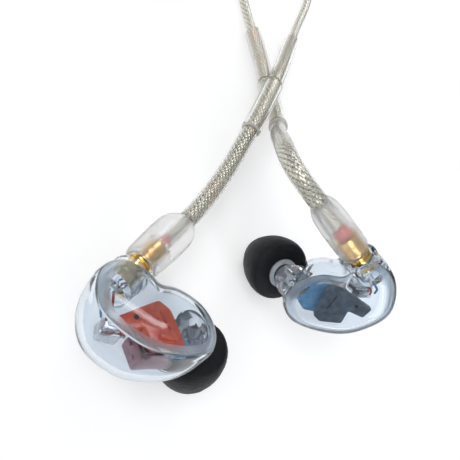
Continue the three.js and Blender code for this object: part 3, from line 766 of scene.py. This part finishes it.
# Radii of the layers over the branch cable in a formed wire, mm.
BRANCH_BORE = BRANCH_D / 2 + 0.02
STRANDS_RADIUS = 1.58
SHEATH_BORE = 1.62
UPPER_STRANDS_RADIUS = 1.35
UPPER_SLEEVE_BORE = 1.38
WIRE_SIDES = 28
LOWER_SLEEVE_SIDES = 32
UPPER_STRANDS_SIDES = 24
CABLE_SIDES = 12
CABLE_STEP = 1.2  # between points along the loose cable, mm


def rimmed(o, sides, flare=0):
    """Gives the end faces of a drawn tube, and its first few rows, the look of a cut edge."""
    o.data.materials.append(MATERIALS["rim"])
    for f in [*o.data.polygons[:2 * sides * flare], *o.data.polygons[-2 * sides:]]:
        f.material_index = 1


def lower_radius(s):
    """The lower sleeve draws in at both ends; s is the share of its length."""
    first_run, last_run, drawn_in = 0.035, 0.05, 0.42
    edge = min(1.0, s / first_run, (1 - s) / last_run)
    return (LOWER_SLEEVE_D / 2 - drawn_in * (1 - edge) ** 2) * MM


def upper_radius(s):
    """The upper sleeve draws in where the loose cable leaves it."""
    last_run, drawn_in = 0.07, 0.45
    return (UPPER_SLEEVE_D / 2 - drawn_in * max(0.0, (s - (1 - last_run)) / last_run) ** 2) * MM


def side_cable(side):
    """The branch cable in one piece: inside the formed wire, over the table, coiled, to the splitter."""
    wire = wire_path(side)
    rest = [placed(p) for p in BRANCH_ROUTE[side]]
    rest += branch_turns(side)
    rest += [placed(p) for p in TAIL_ROUTE[side]]
    path = wire + catmull([wire[-1], *rest], CABLE_STEP * MM)[1:]
    cord = sweep(f"{side}_cable", path, BRANCH_D / 2 * MM, CABLE_SIDES)
    nodes = [f"{side}_branch", f"{side}_tail"] + (["branch_coil"] if side == "left" else [])
    dressed(cord, "thin_strand", "cable", "cable_jacket", nodes)

    def layer(name, low, high, radius, bore, sides):
        return sweep(f"{side}_{name}", part_of(wire, low, high), radius, sides, bore * MM)

    start, end = LOWER_SLEEVE[side]
    sheath = layer("wire_sheath", 0.0, start, WIRE_D / 2 * MM, SHEATH_BORE, WIRE_SIDES)
    dressed(sheath, "sheath", "cable", "cable_jacket", [f"{side}_formed_wire"])
    filler = layer("wire_strands", 0.0, end, STRANDS_RADIUS * MM, BRANCH_BORE, WIRE_SIDES)
    dressed(filler, "strand", "cable", "cable_jacket")
    lower = layer("lower_shrink", start, end, lower_radius, SHEATH_BORE, LOWER_SLEEVE_SIDES)
    dressed(lower, "sleeve", "cable", "clear_sleeve", [f"{side}_lower_sleeve"])
    upper = layer("upper_shrink", end, 1.0, upper_radius, UPPER_SLEEVE_BORE, WIRE_SIDES)
    core = layer("upper_strands", end, 1.0, UPPER_STRANDS_RADIUS * MM, BRANCH_BORE, UPPER_STRANDS_SIDES)
    dressed(core, "strand", "cable", "cable_jacket")
    dressed(upper, "sleeve", "cable", "clear_sleeve", [f"{side}_upper_sleeve"])
    rimmed(lower, LOWER_SLEEVE_SIDES, 1)
    rimmed(upper, WIRE_SIDES)
    rimmed(sheath, WIRE_SIDES)
    return cord, path, [sheath, filler, lower, upper, core]


def main_cable():
    points = [placed(p) for p in MAIN_ROUTE] + main_turns() + plug_lead_points()[1:]
    path = catmull(points, CABLE_STEP * MM)
    cord = sweep("main_cable", path, MAIN_D / 2 * MM, CABLE_SIDES)
    dressed(cord, "thin_strand", "cable", "cable_jacket", ["main_lead", "main_coil", "plug_lead"])
    return cord, path


# ---- housings ----
def outline_loop(samples):
    """Evenly spaced points on the closed curve through the shell's outline."""
    wrap = SHELL_OUTLINE[-3:] + SHELL_OUTLINE + SHELL_OUTLINE[:3]
    curve = catmull([(x, y, 0.0) for x, y in wrap], 0.15)
    seam = Vector((*SHELL_OUTLINE[0], 0))
    half = len(curve) // 2
    first, last = (min(span, key=lambda i: (curve[i] - seam).length)
                   for span in (range(half), range(half, len(curve))))
    loop = np.array([tuple(p) for p in curve[first:last + 1]])
    run = np.concatenate([[0.0], np.cumsum(np.linalg.norm(np.diff(loop, axis=0), axis=1))])
    at = np.linspace(0.0, run[-1], samples, endpoint=False)
    return np.stack([np.interp(at, run, loop[:, k]) for k in (0, 1)], axis=1)


def housing_form(inset, samples, rows):
    """The closed egg of the housing, or the cavity in it where an inset is given. Local mm."""
    ring = outline_loop(samples)
    centre = np.array(SHELL_CENTRE)
    offset = ring - centre
    reach = np.linalg.norm(offset, axis=1, keepdims=True)
    front, back = SHELL_FRONT - inset, SHELL_BACK - inset
    points, faces = [(*centre, front)], []
    levels = []
    for r in range(1, rows + 1):
        s = math.sin(0.5 * math.pi * r / rows)
        levels.append((s, front * (1 - s ** (1 / FRONT_FLATNESS)) ** (1 / FRONT_EDGE)))
    for r in range(rows - 1, 0, -1):
        s = math.sin(0.5 * math.pi * r / rows)
        levels.append((s, -back * (1 - s * s) ** (1 / BACK_FULLNESS)))
    for size, z in levels:
        points.extend((x, y, z) for x, y in centre + offset * (1 - inset / reach) * size)
    points.append((*centre, -back))
    last = len(points) - 1
    for i in range(samples):
        j = (i + 1) % samples
        faces.append([0, 1 + i, 1 + j])
        for r in range(len(levels) - 1):
            a = 1 + r * samples
            faces.append([a + i, a + samples + i, a + samples + j, a + j])
        faces.append([last, last - samples + j, last - samples + i])
    return outward(from_faces("form", points, faces))


LOCAL = Matrix.Identity(4)  # for shapes made in an earpiece's own millimetres and placed later
OUTER_GRID = (150, 40)  # points round the housing's outside, and rows over each half of it
CAVITY_GRID = (120, 32)


def local_rod(radius, origin, axis, start, end, segments=64):
    """A plain rod for cutting bores and clearances."""
    profile = [(start, 0), (start, radius), (end, radius), (end, 0)]
    return lathe("rod", profile, origin, axis, LOCAL, segments)


BOSS_BACK = -6.5  # inner ends of the jack's boss and of the nozzle's neck, along their axes
NECK_BACK = -4.6


def boss_solid():
    """The boss that holds the jack, without its bore."""
    profile = [(BOSS_BACK, 0), (BOSS_BACK, 3.0), (-1.2, JACK_BOSS), (-0.7, 3.1), (-0.7, 0)]
    return lathe("boss", rounded(profile, 0.3), JACK_CENTRE, JACK_AXIS, LOCAL, 72)


def neck_solid():
    """The nozzle and the neck that carries it, without the sound bore."""
    r, end = NOZZLE_RADIUS, NOZZLE_LENGTH
    profile = [
        (NECK_BACK, 0), (NECK_BACK, 3.3), (-2.6, 3.4), (-0.6, 2.6), (0.2, r), (end - 1.6, r),
        (end - 1.3, r - 0.25), (end - 0.9, r - 0.25), (end - 0.7, r), (end - 0.2, r), (end, r - 0.2),
        (end, 0),
    ]
    return lathe("neck", rounded(profile, 0.35), NOZZLE_BASE, NOZZLE_AXIS, LOCAL, 72)


def half_space(above, at):
    """A block that covers everything above, or below, one height."""
    wide, deep = 60, 40
    low, high = (at, at + deep) if above else (at - deep, at)
    return prism("half", rectangle(wide, wide), low, high, LOCAL, 0.1, 0.1)


def inside_end(point):
    """Whether a point of the shell is on the inner end of the jack's boss or of the nozzle's neck."""
    front = -1.0
    jack_end = (JACK_CENTRE, JACK_AXIS, BOSS_BACK - 0.1, 2.75, 3.5)
    neck_end = (NOZZLE_BASE, NOZZLE_AXIS, NECK_BACK - 0.1, 1.3, 3.45)
    for origin, axis, back, least, most in (jack_end, neck_end):
        away = point - origin
        along = away.dot(axis)
        out = (away - axis * along).length
        if back < along < front and least < out < most:
            return True
    return False


def housing_meshes():
    """The shell and the faceplate in local mm, cut and joined as the part's are."""
    below, above = SHELL_SPLIT - SHELL_SEAM / 2, SHELL_SPLIT + SHELL_SEAM / 2
    form = housing_form(0.0, *OUTER_GRID)
    cap = housing_form(0.0, *OUTER_GRID)
    tip_room = local_rod(TIP_RADIUS + 0.4, NOZZLE_BASE, NOZZLE_AXIS, TIP_SEAT - 0.9, 14, 96)
    boolean(form, tip_room, "DIFFERENCE")
    boolean(form, neck_solid(), "UNION")
    cavity = housing_form(SHELL_WALL, *CAVITY_GRID)
    boolean(cavity, boss_solid(), "DIFFERENCE")
    boolean(cavity, neck_solid(), "DIFFERENCE")
    boolean(form, cavity, "DIFFERENCE")
    boolean(form, half_space(False, below), "INTERSECT")
    boolean(form, boss_solid(), "UNION")
    boolean(form, local_rod(JACK_RADIUS + GAP, JACK_CENTRE, JACK_AXIS, -5.2, 5), "DIFFERENCE")
    boolean(form, local_rod(1.1, JACK_CENTRE, JACK_AXIS, -7.5, -5, 40), "DIFFERENCE")
    boolean(form, local_rod(NOZZLE_BORE, NOZZLE_BASE, NOZZLE_AXIS, -8.5, 12, 48), "DIFFERENCE")
    boolean(cap, housing_form(SHELL_WALL, *CAVITY_GRID), "DIFFERENCE")
    boolean(cap, half_space(True, above), "INTERSECT")
    boss_room = local_rod(JACK_BOSS + SHELL_SEAM, JACK_CENTRE, JACK_AXIS, -7, 6, 80)
    boolean(cap, boss_room, "DIFFERENCE")
    meshes = form.data, cap.data
    for mesh, seam in zip(meshes, (below, above)):
        mesh.materials.clear()
        for look in ("shell", "bond", "haze"):
            mesh.materials.append(MATERIALS[look])
        for f in mesh.polygons:
            on_seam = abs(f.center.z - seam) < 0.02 and abs(f.normal.z) > 0.98
            f.material_index = 1 if on_seam else 2 if inside_end(f.center) else 0
    bpy.data.objects.remove(form)
    bpy.data.objects.remove(cap)
    return meshes


def moved(mesh, m):
    """Transforms a mesh, keeping its faces outwards where the matrix mirrors it."""
    mesh.transform(m)
    if m.determinant() < 0:
        mesh.flip_normals()


def housing(side, meshes, m):
    """Places copies of the two housing meshes, which already carry their materials."""
    for kind, mesh in zip(("shell", "faceplate"), meshes):
        own = mesh.copy()
        moved(own, m)
        o = smoothed(new_object(f"{side}_clear_{kind}", own), 32)
        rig.ride(o, f"{side}_earpiece")
        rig.slot(o, "clear_shell")
        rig.replaces(o, f"{side}_{kind}")


# ---- inside an earpiece ----
def driver(name, size, at, turn, spout, m):
    """A can with a lid, a rib on the lid, two solder pads and its sound spout."""
    x, y, z = size
    here = m @ Matrix.Translation(Vector(at)) @ Matrix.Rotation(turn, 4, "Z")
    can = prism("can", rectangle(x, y), -z / 2, z / 2, here, 0.28, 0.55)
    lid = prism("lid", rectangle(x - 0.8, y - 0.8), z / 2 - 0.05, z / 2 + 0.45, here, 0.16, 0.4)
    rib = prism("rib", rectangle(x - 2.2, 0.5), z / 2 + 0.4, z / 2 + 0.6, here, 0.08, 0.2)
    horn = rounded([(-0.4, 0), (-0.4, spout), (1.1, spout), (1.1, spout * 0.6), (0.5, 0)], 0.1)
    nose = lathe("nose", horn, (x / 2, 0, -z / 4), (1, 0, 0), here, 32)
    dot = rounded([(0, 0), (0, 0.42), (0.3, 0.3), (0.3, 0)], 0.1)
    pads = [lathe("pad", dot, (-x / 2 + 0.05, side * y / 5, 0), (-1, 0, 0), here, 24) for side in (-1, 1)]
    return joined(name, [can, lid, rib, nose, *pads])


VENT_AT = (-2.7, -1.9, 0)  # the hole through a carrier


def carrier(name, m):
    """The frame over the drivers: a notched plate with a vent, a key slot and a raised rib."""
    outline = [
        (-5.4, -3.6), (-3.2, -5.0), (-0.9, -2.6), (1.2, -5.0), (5.2, -3.2), (5.9, -1.4), (1.9, 3.3),
        (-0.4, 3.7),
    ]
    plate = prism(name, outline, -0.6, 0.7, LOCAL, 0.2, 0.45)
    boolean(plate, local_rod(0.42, VENT_AT, (0, 0, 1), -3, 3, 32), "DIFFERENCE")
    slot_at = Matrix.Translation((1.6, 0.4, 0)) @ Matrix.Rotation(0.88, 4, "Z")
    boolean(plate, prism("slot", rectangle(0.45, 3.4), 0.3, 2.0, slot_at, 0.05, 0.2), "DIFFERENCE")
    rib_at = Matrix.Translation((2.9, -2.2, 0)) @ Matrix.Rotation(0.42, 4, "Z")
    boolean(plate, prism("rib", rectangle(3.0, 0.7), 0.3, 1.1, rib_at, 0.12, 0.25), "UNION")
    moved(plate.data, m)
    return smoothed(plate, 30)


def vent_ring(name, m):
    """A near-black plug that fills the carrier's hole: painted shade, the dark of the open vent hole."""
    profile = rounded([(-0.55, 0), (-0.55, 0.4), (0.78, 0.4), (0.78, 0.3), (0.6, 0.0)], 0.05)
    return lathe(name, profile, VENT_AT, (0, 0, 1), m, 32)


def board(name, m):
    """A small printed board with five chip parts on it."""
    outline = [(0.8, 0.6), (5.0, -2.7), (7.7, -1.1), (8.2, 1.6), (5.4, 2.8), (3.6, 5.0), (0.2, 4.6)]
    parts = [prism("card", outline, -2.35, -1.9, m, 0.08, 0.4)]
    chips = ((6.6, -0.6, 0.4), (6.9, 1.0, 0.1), (4.9, 1.5, -0.5), (3.4, 3.6, 0.9), (1.6, 3.7, 0.2))
    for x, y, turn in chips:
        here = m @ Matrix.Translation((x, y, -1.95)) @ Matrix.Rotation(turn, 4, "Z")
        parts.append(prism("chip", rectangle(1.1, 0.6), 0.0, 0.3, here, 0.05, 0.1))
    return joined(name, parts)


def lead_wire(name, lie, m):
    """An enamelled wire from the jack to the drivers. Its lie, 1 or -1, keeps the two apart."""
    start = JACK_CENTRE + JACK_AXIS * -6.2 + Vector((lie * 0.45, 0, 0))
    points = [start, (-6.7 + lie * 0.6, 0.4, -2.0), (-6.9 + lie * 0.6, -1.2, -2.1),
              (-6.4 + lie * 0.5, -2.2, -2.6)]
    return sweep(name, [m @ p for p in catmull(points, 0.3)], LEAD_WIRE_D / 2 * MM, 12)


def jack(side, m):
    """The gold socket in the boss, its insulating disc and its contact tube."""
    r = JACK_RADIUS
    barrel = [
        (-4.6, 1.55), (-4.6, 2.25), (-0.3, 2.25), (-0.25, r), (0.05, r), (0.15, 2.12), (0.3, 2.12),
        (0.4, r), (0.75, r), (0.75, 1.55), (-1.4, 1.55), (-1.4, 1.95), (-2.4, 1.95), (-2.4, 1.55),
        (-4.6, 1.55),
    ]
    disc = [(-4.5, 0.65), (-4.5, 1.25), (-3.5, 1.25), (-3.5, 0.65), (-4.5, 0.65)]
    contact = [(-5.6, 0.32), (-5.6, 0.4), (-1.0, 0.4), (-1.0, 0.32), (-5.6, 0.32)]
    rows = [("gold_jack", barrel, 72, "gold", "gold_plate", "jack_barrel"),
            ("jack_disc", disc, 40, "white", "white_insulator", "jack_insulator"),
            ("jack_socket", contact, 28, "gold", "gold_plate", "jack_contact")]
    for name, profile, segments, look, slot, node in rows:
        o = lathe(f"{side}_{name}", profile, JACK_CENTRE, JACK_AXIS, m, segments)
        dressed(o, look, f"{side}_earpiece", slot, [f"{side}_{node}"])


def foam_tip(side, m):
    """A turned foam tip with a soft shoulder and a slightly uneven skin, and the tube in it."""
    end = TIP_LENGTH
    outer = catmull([
        (TIP_SEAT + 0.1, 5.5, 0), (TIP_SEAT + 0.45, 6.3, 0), (TIP_SEAT + 1.3, 6.66, 0),
        (TIP_SEAT + 2.6, TIP_RADIUS - 0.03, 0), (5.6, 6.4, 0), (7.6, 5.75, 0), (9.3, 4.9, 0),
        (10.6, 4.1, 0), (end - 0.25, 3.55, 0), (end - 0.05, 3.3, 0), (end - 0.15, 3.14, 0),
    ], 0.11)
    profile = [(TIP_SEAT, TIP_BORE), (TIP_SEAT, 5.3)] + [(p.x, p.y) for p in outer]
    profile += [(end - 0.5, TIP_BORE), (TIP_SEAT, TIP_BORE)]
    o = lathe(f"{side}_foam", profile, NOZZLE_BASE, NOZZLE_AXIS, LOCAL, 180)
    for v in o.data.vertices:
        away = v.co - NOZZLE_BASE
        out = away - NOZZLE_AXIS * away.dot(NOZZLE_AXIS)
        if out.length > TIP_BORE + 0.25:
            uneven = noise.noise(v.co * 3.1) * 0.05 + noise.noise(v.co * 0.55) * 0.05
            v.co += out.normalized() * (uneven - 0.07)
    o.data.transform(m)
    outward(o)
    smoothed(o, 60)
    dressed(o, "foam", f"{side}_tip", "foam", [f"{side}_foam_tip"])
    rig.padded(o, fill=0.8)
    start, inner, tube, collar, tube_end = TIP_SEAT - 0.55, NOZZLE_RADIUS + GAP, TIP_BORE - GAP, 3.15, 10.4
    profile = [(start, inner), (start, collar), (TIP_SEAT - GAP, collar), (TIP_SEAT - GAP, tube),
               (tube_end, tube), (tube_end, inner), (start, inner)]
    core = lathe(f"{side}_core_tube", profile, NOZZLE_BASE, NOZZLE_AXIS, m, 72)
    dressed(core, "core", f"{side}_tip", "tip_core", [f"{side}_tip_core"])


def connector(side, m):
    """The oval clear moulding, the gold plug in it and the wires crimped behind the plug."""
    end = PLUG_LENGTH
    bore, channel = 2.3, 1.4
    profile = rounded([
        (1.1, bore), (1.1, 3.0), (1.9, PLUG_WIDE - 0.45), (4.5, PLUG_WIDE - 0.25), (9.0, PLUG_WIDE),
        (11.8, PLUG_WIDE - 0.05), (13.4, PLUG_WIDE - 0.5), (end + 0.2, PLUG_WIDE - 1.1),
        (end + PLUG_TAIL, PLUG_END), (end + PLUG_TAIL, channel), (6.5, channel), (6.5, bore),
    ], 1.1, 6, loop=True)
    profile.append(profile[0])

    def squeeze(along, radius):
        """Round inside, oval outside, more so towards the cable."""
        if radius < bore + 0.05 and along < end - 0.5 or radius < channel + 0.05:
            return (1.0, 1.0)
        share = min(1.0, max(0.0, (along - 2.0) / 9.0))
        oval = OVAL_NEAR + (OVAL_FAR - OVAL_NEAR) * share
        return (oval, 1.0) if side == "left" else (1.0, oval)

    body = lathe(f"{side}_connector_moulding", profile, JACK_CENTRE, JACK_AXIS, m, 96, squeeze)
    dressed(body, "frosted", "cable", "frosted_moulding", [f"{side}_connector_body"])
    barrel = [
        (-3.2, 0.95), (-3.2, 1.2), (1.25, 1.2), (1.25, 1.95), (2.2, 1.95), (2.3, 1.7), (2.7, 1.7),
        (2.8, 1.95), (3.6, 1.95), (3.7, 1.7), (4.1, 1.7), (4.2, 1.95), (5.9, 1.95), (5.9, 0.95),
        (-3.2, 0.95),
    ]
    gold = lathe(f"{side}_plug_barrel", barrel, JACK_CENTRE, JACK_AXIS, m, 56)
    dressed(gold, "gold", "cable", "gold_plate", [f"{side}_connector_barrel"])
    rod = rounded([(-3.4, 0), (-3.4, 0.25), (5.4, 0.25), (5.4, 0)], 0.15)
    pin = lathe(f"{side}_plug_pin", rod, JACK_CENTRE, JACK_AXIS, m, 20)
    dressed(pin, "gold", "cable", "gold_plate", [f"{side}_connector_pin"])
    knot = rounded([(6.1, 0), (6.1, 1.0), (6.9, 1.3), (8.3, 1.1), (8.8, 0)], 0.3)
    dressed(lathe(f"{side}_crimp", knot, JACK_CENTRE, JACK_AXIS, m, 32), "blush", "cable")
    line = [m @ (JACK_CENTRE + JACK_AXIS * t) for t in np.arange(9.0, end + 1.3, 0.4)]
    dressed(sweep(f"{side}_inner_strands", line, 1.0 * MM, 16), "strand", "cable")


def earpiece(side, meshes):
    """Everything that one earpiece carries, and the connector in its jack."""
    m = side_matrix(side)
    body = f"{side}_earpiece"
    housing(side, meshes, m)
    woofer = driver(f"{side}_woofer_can", (7.2, 4.8, 3.6), (2.9, -0.3, -4.9), 0.64, 0.7, m)
    dressed(woofer, "mauve", body, "driver_can", [f"{side}_woofer_driver"])
    tweeter = driver(f"{side}_tweeter_can", (3.8, 2.8, 2.2), (-4.6, -1.8, -4.6), 0.35, 0.5, m)
    dressed(tweeter, "steel", body, "steel", [f"{side}_tweeter_driver"])
    frame_look, frame_slot = ("slate", "carrier_slate") if side == "left" else ("red", "carrier_red")
    dressed(carrier(f"{side}_carrier", m), frame_look, body, frame_slot, [f"{side}_driver_carrier"])
    # the vent plug is painted shade: a near-black fill in the carrier's hole
    dressed(vent_ring(f"{side}_vent", m), "dark", body)
    dressed(board(f"{side}_board", m), "blue", body, "board", [f"{side}_crossover_board"])
    plus, minus = lead_wire(f"{side}_wire_plus", 1, m), lead_wire(f"{side}_wire_minus", -1, m)
    dressed(plus, "enamel_red", body, "enamel_red", [f"{side}_lead_wire_plus"])
    dressed(minus, "enamel_blue", body, "enamel_blue", [f"{side}_lead_wire_minus"])
    wall = rounded([(5.0, 0.45), (5.0, 0.85), (8.4, 0.85), (8.4, 0.45)], 0.08, 2, True)
    cup = lathe(f"{side}_damper_cup", wall + [Vector((5.08, 0.45))], NOZZLE_BASE, NOZZLE_AXIS, m, 36)
    dressed(cup, "steel", body, "steel", [f"{side}_sound_damper"])
    spring = frame["nodes"][f"{side}_retaining_ring"].data
    spring.materials.clear()
    spring.materials.append(MATERIALS["steel"])
    jack(side, m)
    foam_tip(side, m)
    connector(side, m)


# ---- the rest of the cable ----
LAYOUT = Matrix.Scale(MM, 4) @ Matrix.Translation(-CENTRE)


SPLITTER_Y = 130.85


def splitter():
    """The tapered moulding where the two branches join."""
    tail, head = 57.0, 43.0
    outline = [(tail, -3.7), (tail - 6, -3.5), (head + 3, -2.4), (head, -2.0), (head, 2.0), (head + 3, 2.4),
               (tail - 6, 3.5), (tail, 3.7)]
    o = prism("splitter", outline, 0.05, 4.75, LAYOUT @ Matrix.Translation((0, SPLITTER_Y, 0)), 0.7, 1.2)
    dressed(o, "frosted", "cable", "frosted_moulding", ["y_splitter"])
    return o


def cinch():
    """The slider with one slot for both branches."""
    here = Matrix.Translation((68.5, SPLITTER_Y, 2.4))
    o = prism("cinch_slider", rectangle(7, 7.4), -2.35, 2.35, here, 0.6, 1.2)
    slot_wide, slot_high = 2 * BRANCH_D + 0.1 + 2 * GAP, BRANCH_D + 2 * GAP
    slot_box = prism("slot", rectangle(slot_high, slot_wide), -5, 5,
                     here @ Matrix.Rotation(math.pi / 2, 4, "Y"), 0.02, 0.5)
    boolean(o, slot_box, "DIFFERENCE")
    o.data.transform(LAYOUT)
    smoothed(outward(o), 32)
    dressed(o, "frosted", "cinch", "frosted_moulding", ["cable_cinch"])
    return o


def strap(name, coil, angle, node):
    """A flat strap closed round one side of a bundle of turns."""
    clear, thick, wide = 2.2 * GAP, 0.8, 5.0
    width = coil["outer"] - coil["inner"] + 2 * clear
    height = coil["top"] - thick + clear - 0.02
    middle = (coil["inner"] + coil["outer"]) / 2
    base = Matrix.Translation((*coil["centre"], 0)) @ Matrix.Rotation(angle, 4, "Z")
    lifted = base @ Matrix.Translation((middle, 0, height / 2 + thick + 0.02))
    upright = lifted @ Matrix.Rotation(math.pi / 2, 4, "X")
    outside = rectangle(width + 2 * thick, height + 2 * thick)
    o = prism(name, outside, -wide / 2, wide / 2, upright, 0.25, 1.4)
    hole = prism("hole", rectangle(width, height), -wide, wide, upright, 0.02, 0.8)
    boolean(o, hole, "DIFFERENCE")
    o.data.transform(LAYOUT)
    smoothed(outward(o), 32)
    dressed(o, "strap", "cable", "tie_strap", [node])


def plug():
    """The stereo plug: its strain relief and grip, both turned with ribs, and its contacts."""
    axis, at = (-1, 0, 0), PLUG_START
    ribs = [(0, 0), (0, 1.6)]
    for k in range(5):
        x, r = 0.9 + 1.3 * k, 1.6 + 0.17 * k
        ribs += [(x, r), (x + 0.15, r - 0.3), (x + 0.45, r - 0.3), (x + 0.6, r + 0.1)]
    ribs += [(7.7, 2.6), (7.7, 0)]
    body = [(8.0, 0), (8.0, 2.8), (8.8, 3.6)]
    for k in range(6):
        x = 10.4 + 1.2 * k
        body += [(x, 3.6), (x + 0.2, 3.38), (x + 0.5, 3.38), (x + 0.7, 3.6)]
    body += [(20.0, 3.6), (21.0, 3.0), (21.0, 0)]
    contact, core = 1.75, 0.8
    sleeve = [(21.3, core + GAP), (21.3, contact), (28.0, contact), (28.0, core + GAP), (21.3, core + GAP)]
    ring = [(28.8, core + GAP), (28.8, contact), (31.0, contact), (31.0, core + GAP), (28.8, core + GAP)]
    rod = [(21.3, 0), (21.3, core), (31.6, core), (31.6, 0)]
    tip = [(31.9, 0), (31.9, contact), (32.6, contact), (33.2, 1.2), (33.8, 1.7), (35.2, 0.5), (35.4, 0)]
    rows = [("relief", rounded(ribs, 0.12, 2), "frosted", "frosted_moulding"),
            ("body", rounded(body, 0.2, 2), "frosted", "frosted_moulding"),
            ("sleeve", sleeve, "gold", "gold_plate"), ("ring", ring, "gold", "gold_plate"),
            ("insulation", rod, "strap", "tie_strap"), ("tip", rounded(tip, 0.2), "gold", "gold_plate")]
    return [dressed(lathe(f"mini_plug_{n}", p, at, axis, LAYOUT, 64), look, "cable", slot, [f"plug_{n}"])
            for n, p, look, slot in rows]


# ---- making it all ----
add_camera()
cables = {side: side_cable(side) for side in ("right", "left")}
main, main_path = main_cable()
housings = housing_meshes()
for ear in ("right", "left"):
    earpiece(ear, housings)
splitter_piece = splitter()
cinch_piece = cinch()
strap("branch_strap", BRANCH_COIL, math.pi / 5, "branch_coil_tie")
strap("main_strap", MAIN_COIL, math.pi / 2, "main_coil_tie")
plug_pieces = plug()

for ear, (cord, path, along) in cables.items():
    with_it = [*along, bpy.data.objects[f"{ear}_connector_moulding"], splitter_piece]
    if ear == "right":
        with_it += [cinch_piece, bpy.data.objects["branch_strap"]]
    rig.cord(cord, exit=path[0], length=lengths(path)[-1], diameter=BRANCH_D * MM, far_end="fitting",
            stiffness="medium", lay="coiled", path=path, with_pieces=with_it)
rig.cord(main, exit=main_path[0], length=lengths(main_path)[-1], diameter=MAIN_D * MM, far_end="plug",
        stiffness="medium", lay="coiled", path=main_path,
        with_pieces=[*plug_pieces, bpy.data.objects["main_strap"]])


# ---- floor and light ----
def floor():
    """A white table that glows a little, as a studio's white sweep does."""
    o = from_faces("floor", [(-3, -3, 0), (3, -3, 0), (3, 3, 0), (-3, 3, 0)], [[0, 1, 2, 3]])
    look = Look("floor", Roughness=0.9, Specular_IOR_Level=0.1, Emission_Strength=0.44,
                Emission_Color=(1.0, 1.0, 1.0))
    shade = look.ramp(look.grain(30.0), [(0.3, (0.66, 0.66, 0.66)), (0.7, (0.69, 0.69, 0.69))])
    look.link(shade, "Base Color")
    o.data.materials.append(look.material)
    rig.stage(o)


def area_light(name, at, aim, size, power):
    data = bpy.data.lights.new(name, "AREA")
    data.shape = "RECTANGLE"
    data.size, data.size_y = size
    data.energy = power
    o = bpy.data.objects.new(name, data)
    o.location = at
    o.rotation_mode = "QUATERNION"
    o.rotation_quaternion = (Vector(aim) - Vector(at)).to_track_quat("-Z", "Y")
    bpy.context.scene.collection.objects.link(o)


def lighting():
    """A pale sky over a greyer horizon, and three soft boxes."""
    bpy.context.scene.view_settings.view_transform = "Standard"
    world = bpy.data.worlds.new("studio")
    world.use_nodes = True
    tree = world.node_tree
    up = tree.nodes.new("ShaderNodeSeparateXYZ")
    tree.links.new(tree.nodes.new("ShaderNodeTexCoord").outputs["Generated"], up.inputs[0])
    sky = tree.nodes.new("ShaderNodeValToRGB")
    sky.color_ramp.elements[0].color = (0.42, 0.48, 0.56, 1.0)
    sky.color_ramp.elements[1].position = 0.6
    sky.color_ramp.elements[1].color = (0.95, 0.97, 1.0, 1.0)
    tree.links.new(up.outputs["Z"], sky.inputs["Fac"])
    tree.links.new(sky.outputs["Color"], tree.nodes["Background"].inputs["Color"])
    tree.nodes["Background"].inputs["Strength"].default_value = 0.5
    bpy.context.scene.world = world
    area_light("key", (-0.30, 0.10, 0.45), (0, 0, 0.01), (0.30, 0.30), 1.15)
    area_light("side", (0.10, -0.40, 0.25), (0, 0, 0.01), (0.10, 0.35), 0.55)
    area_light("back", (0.25, 0.45, 0.30), (0, 0, 0.01), (0.40, 0.10), 0.65)


floor()
lighting()
made_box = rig.bounds()
with open("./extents.json", "w") as f:
    json.dump({"cad": [list(c) for c in cad_box], "visual": [list(c) for c in made_box]}, f)
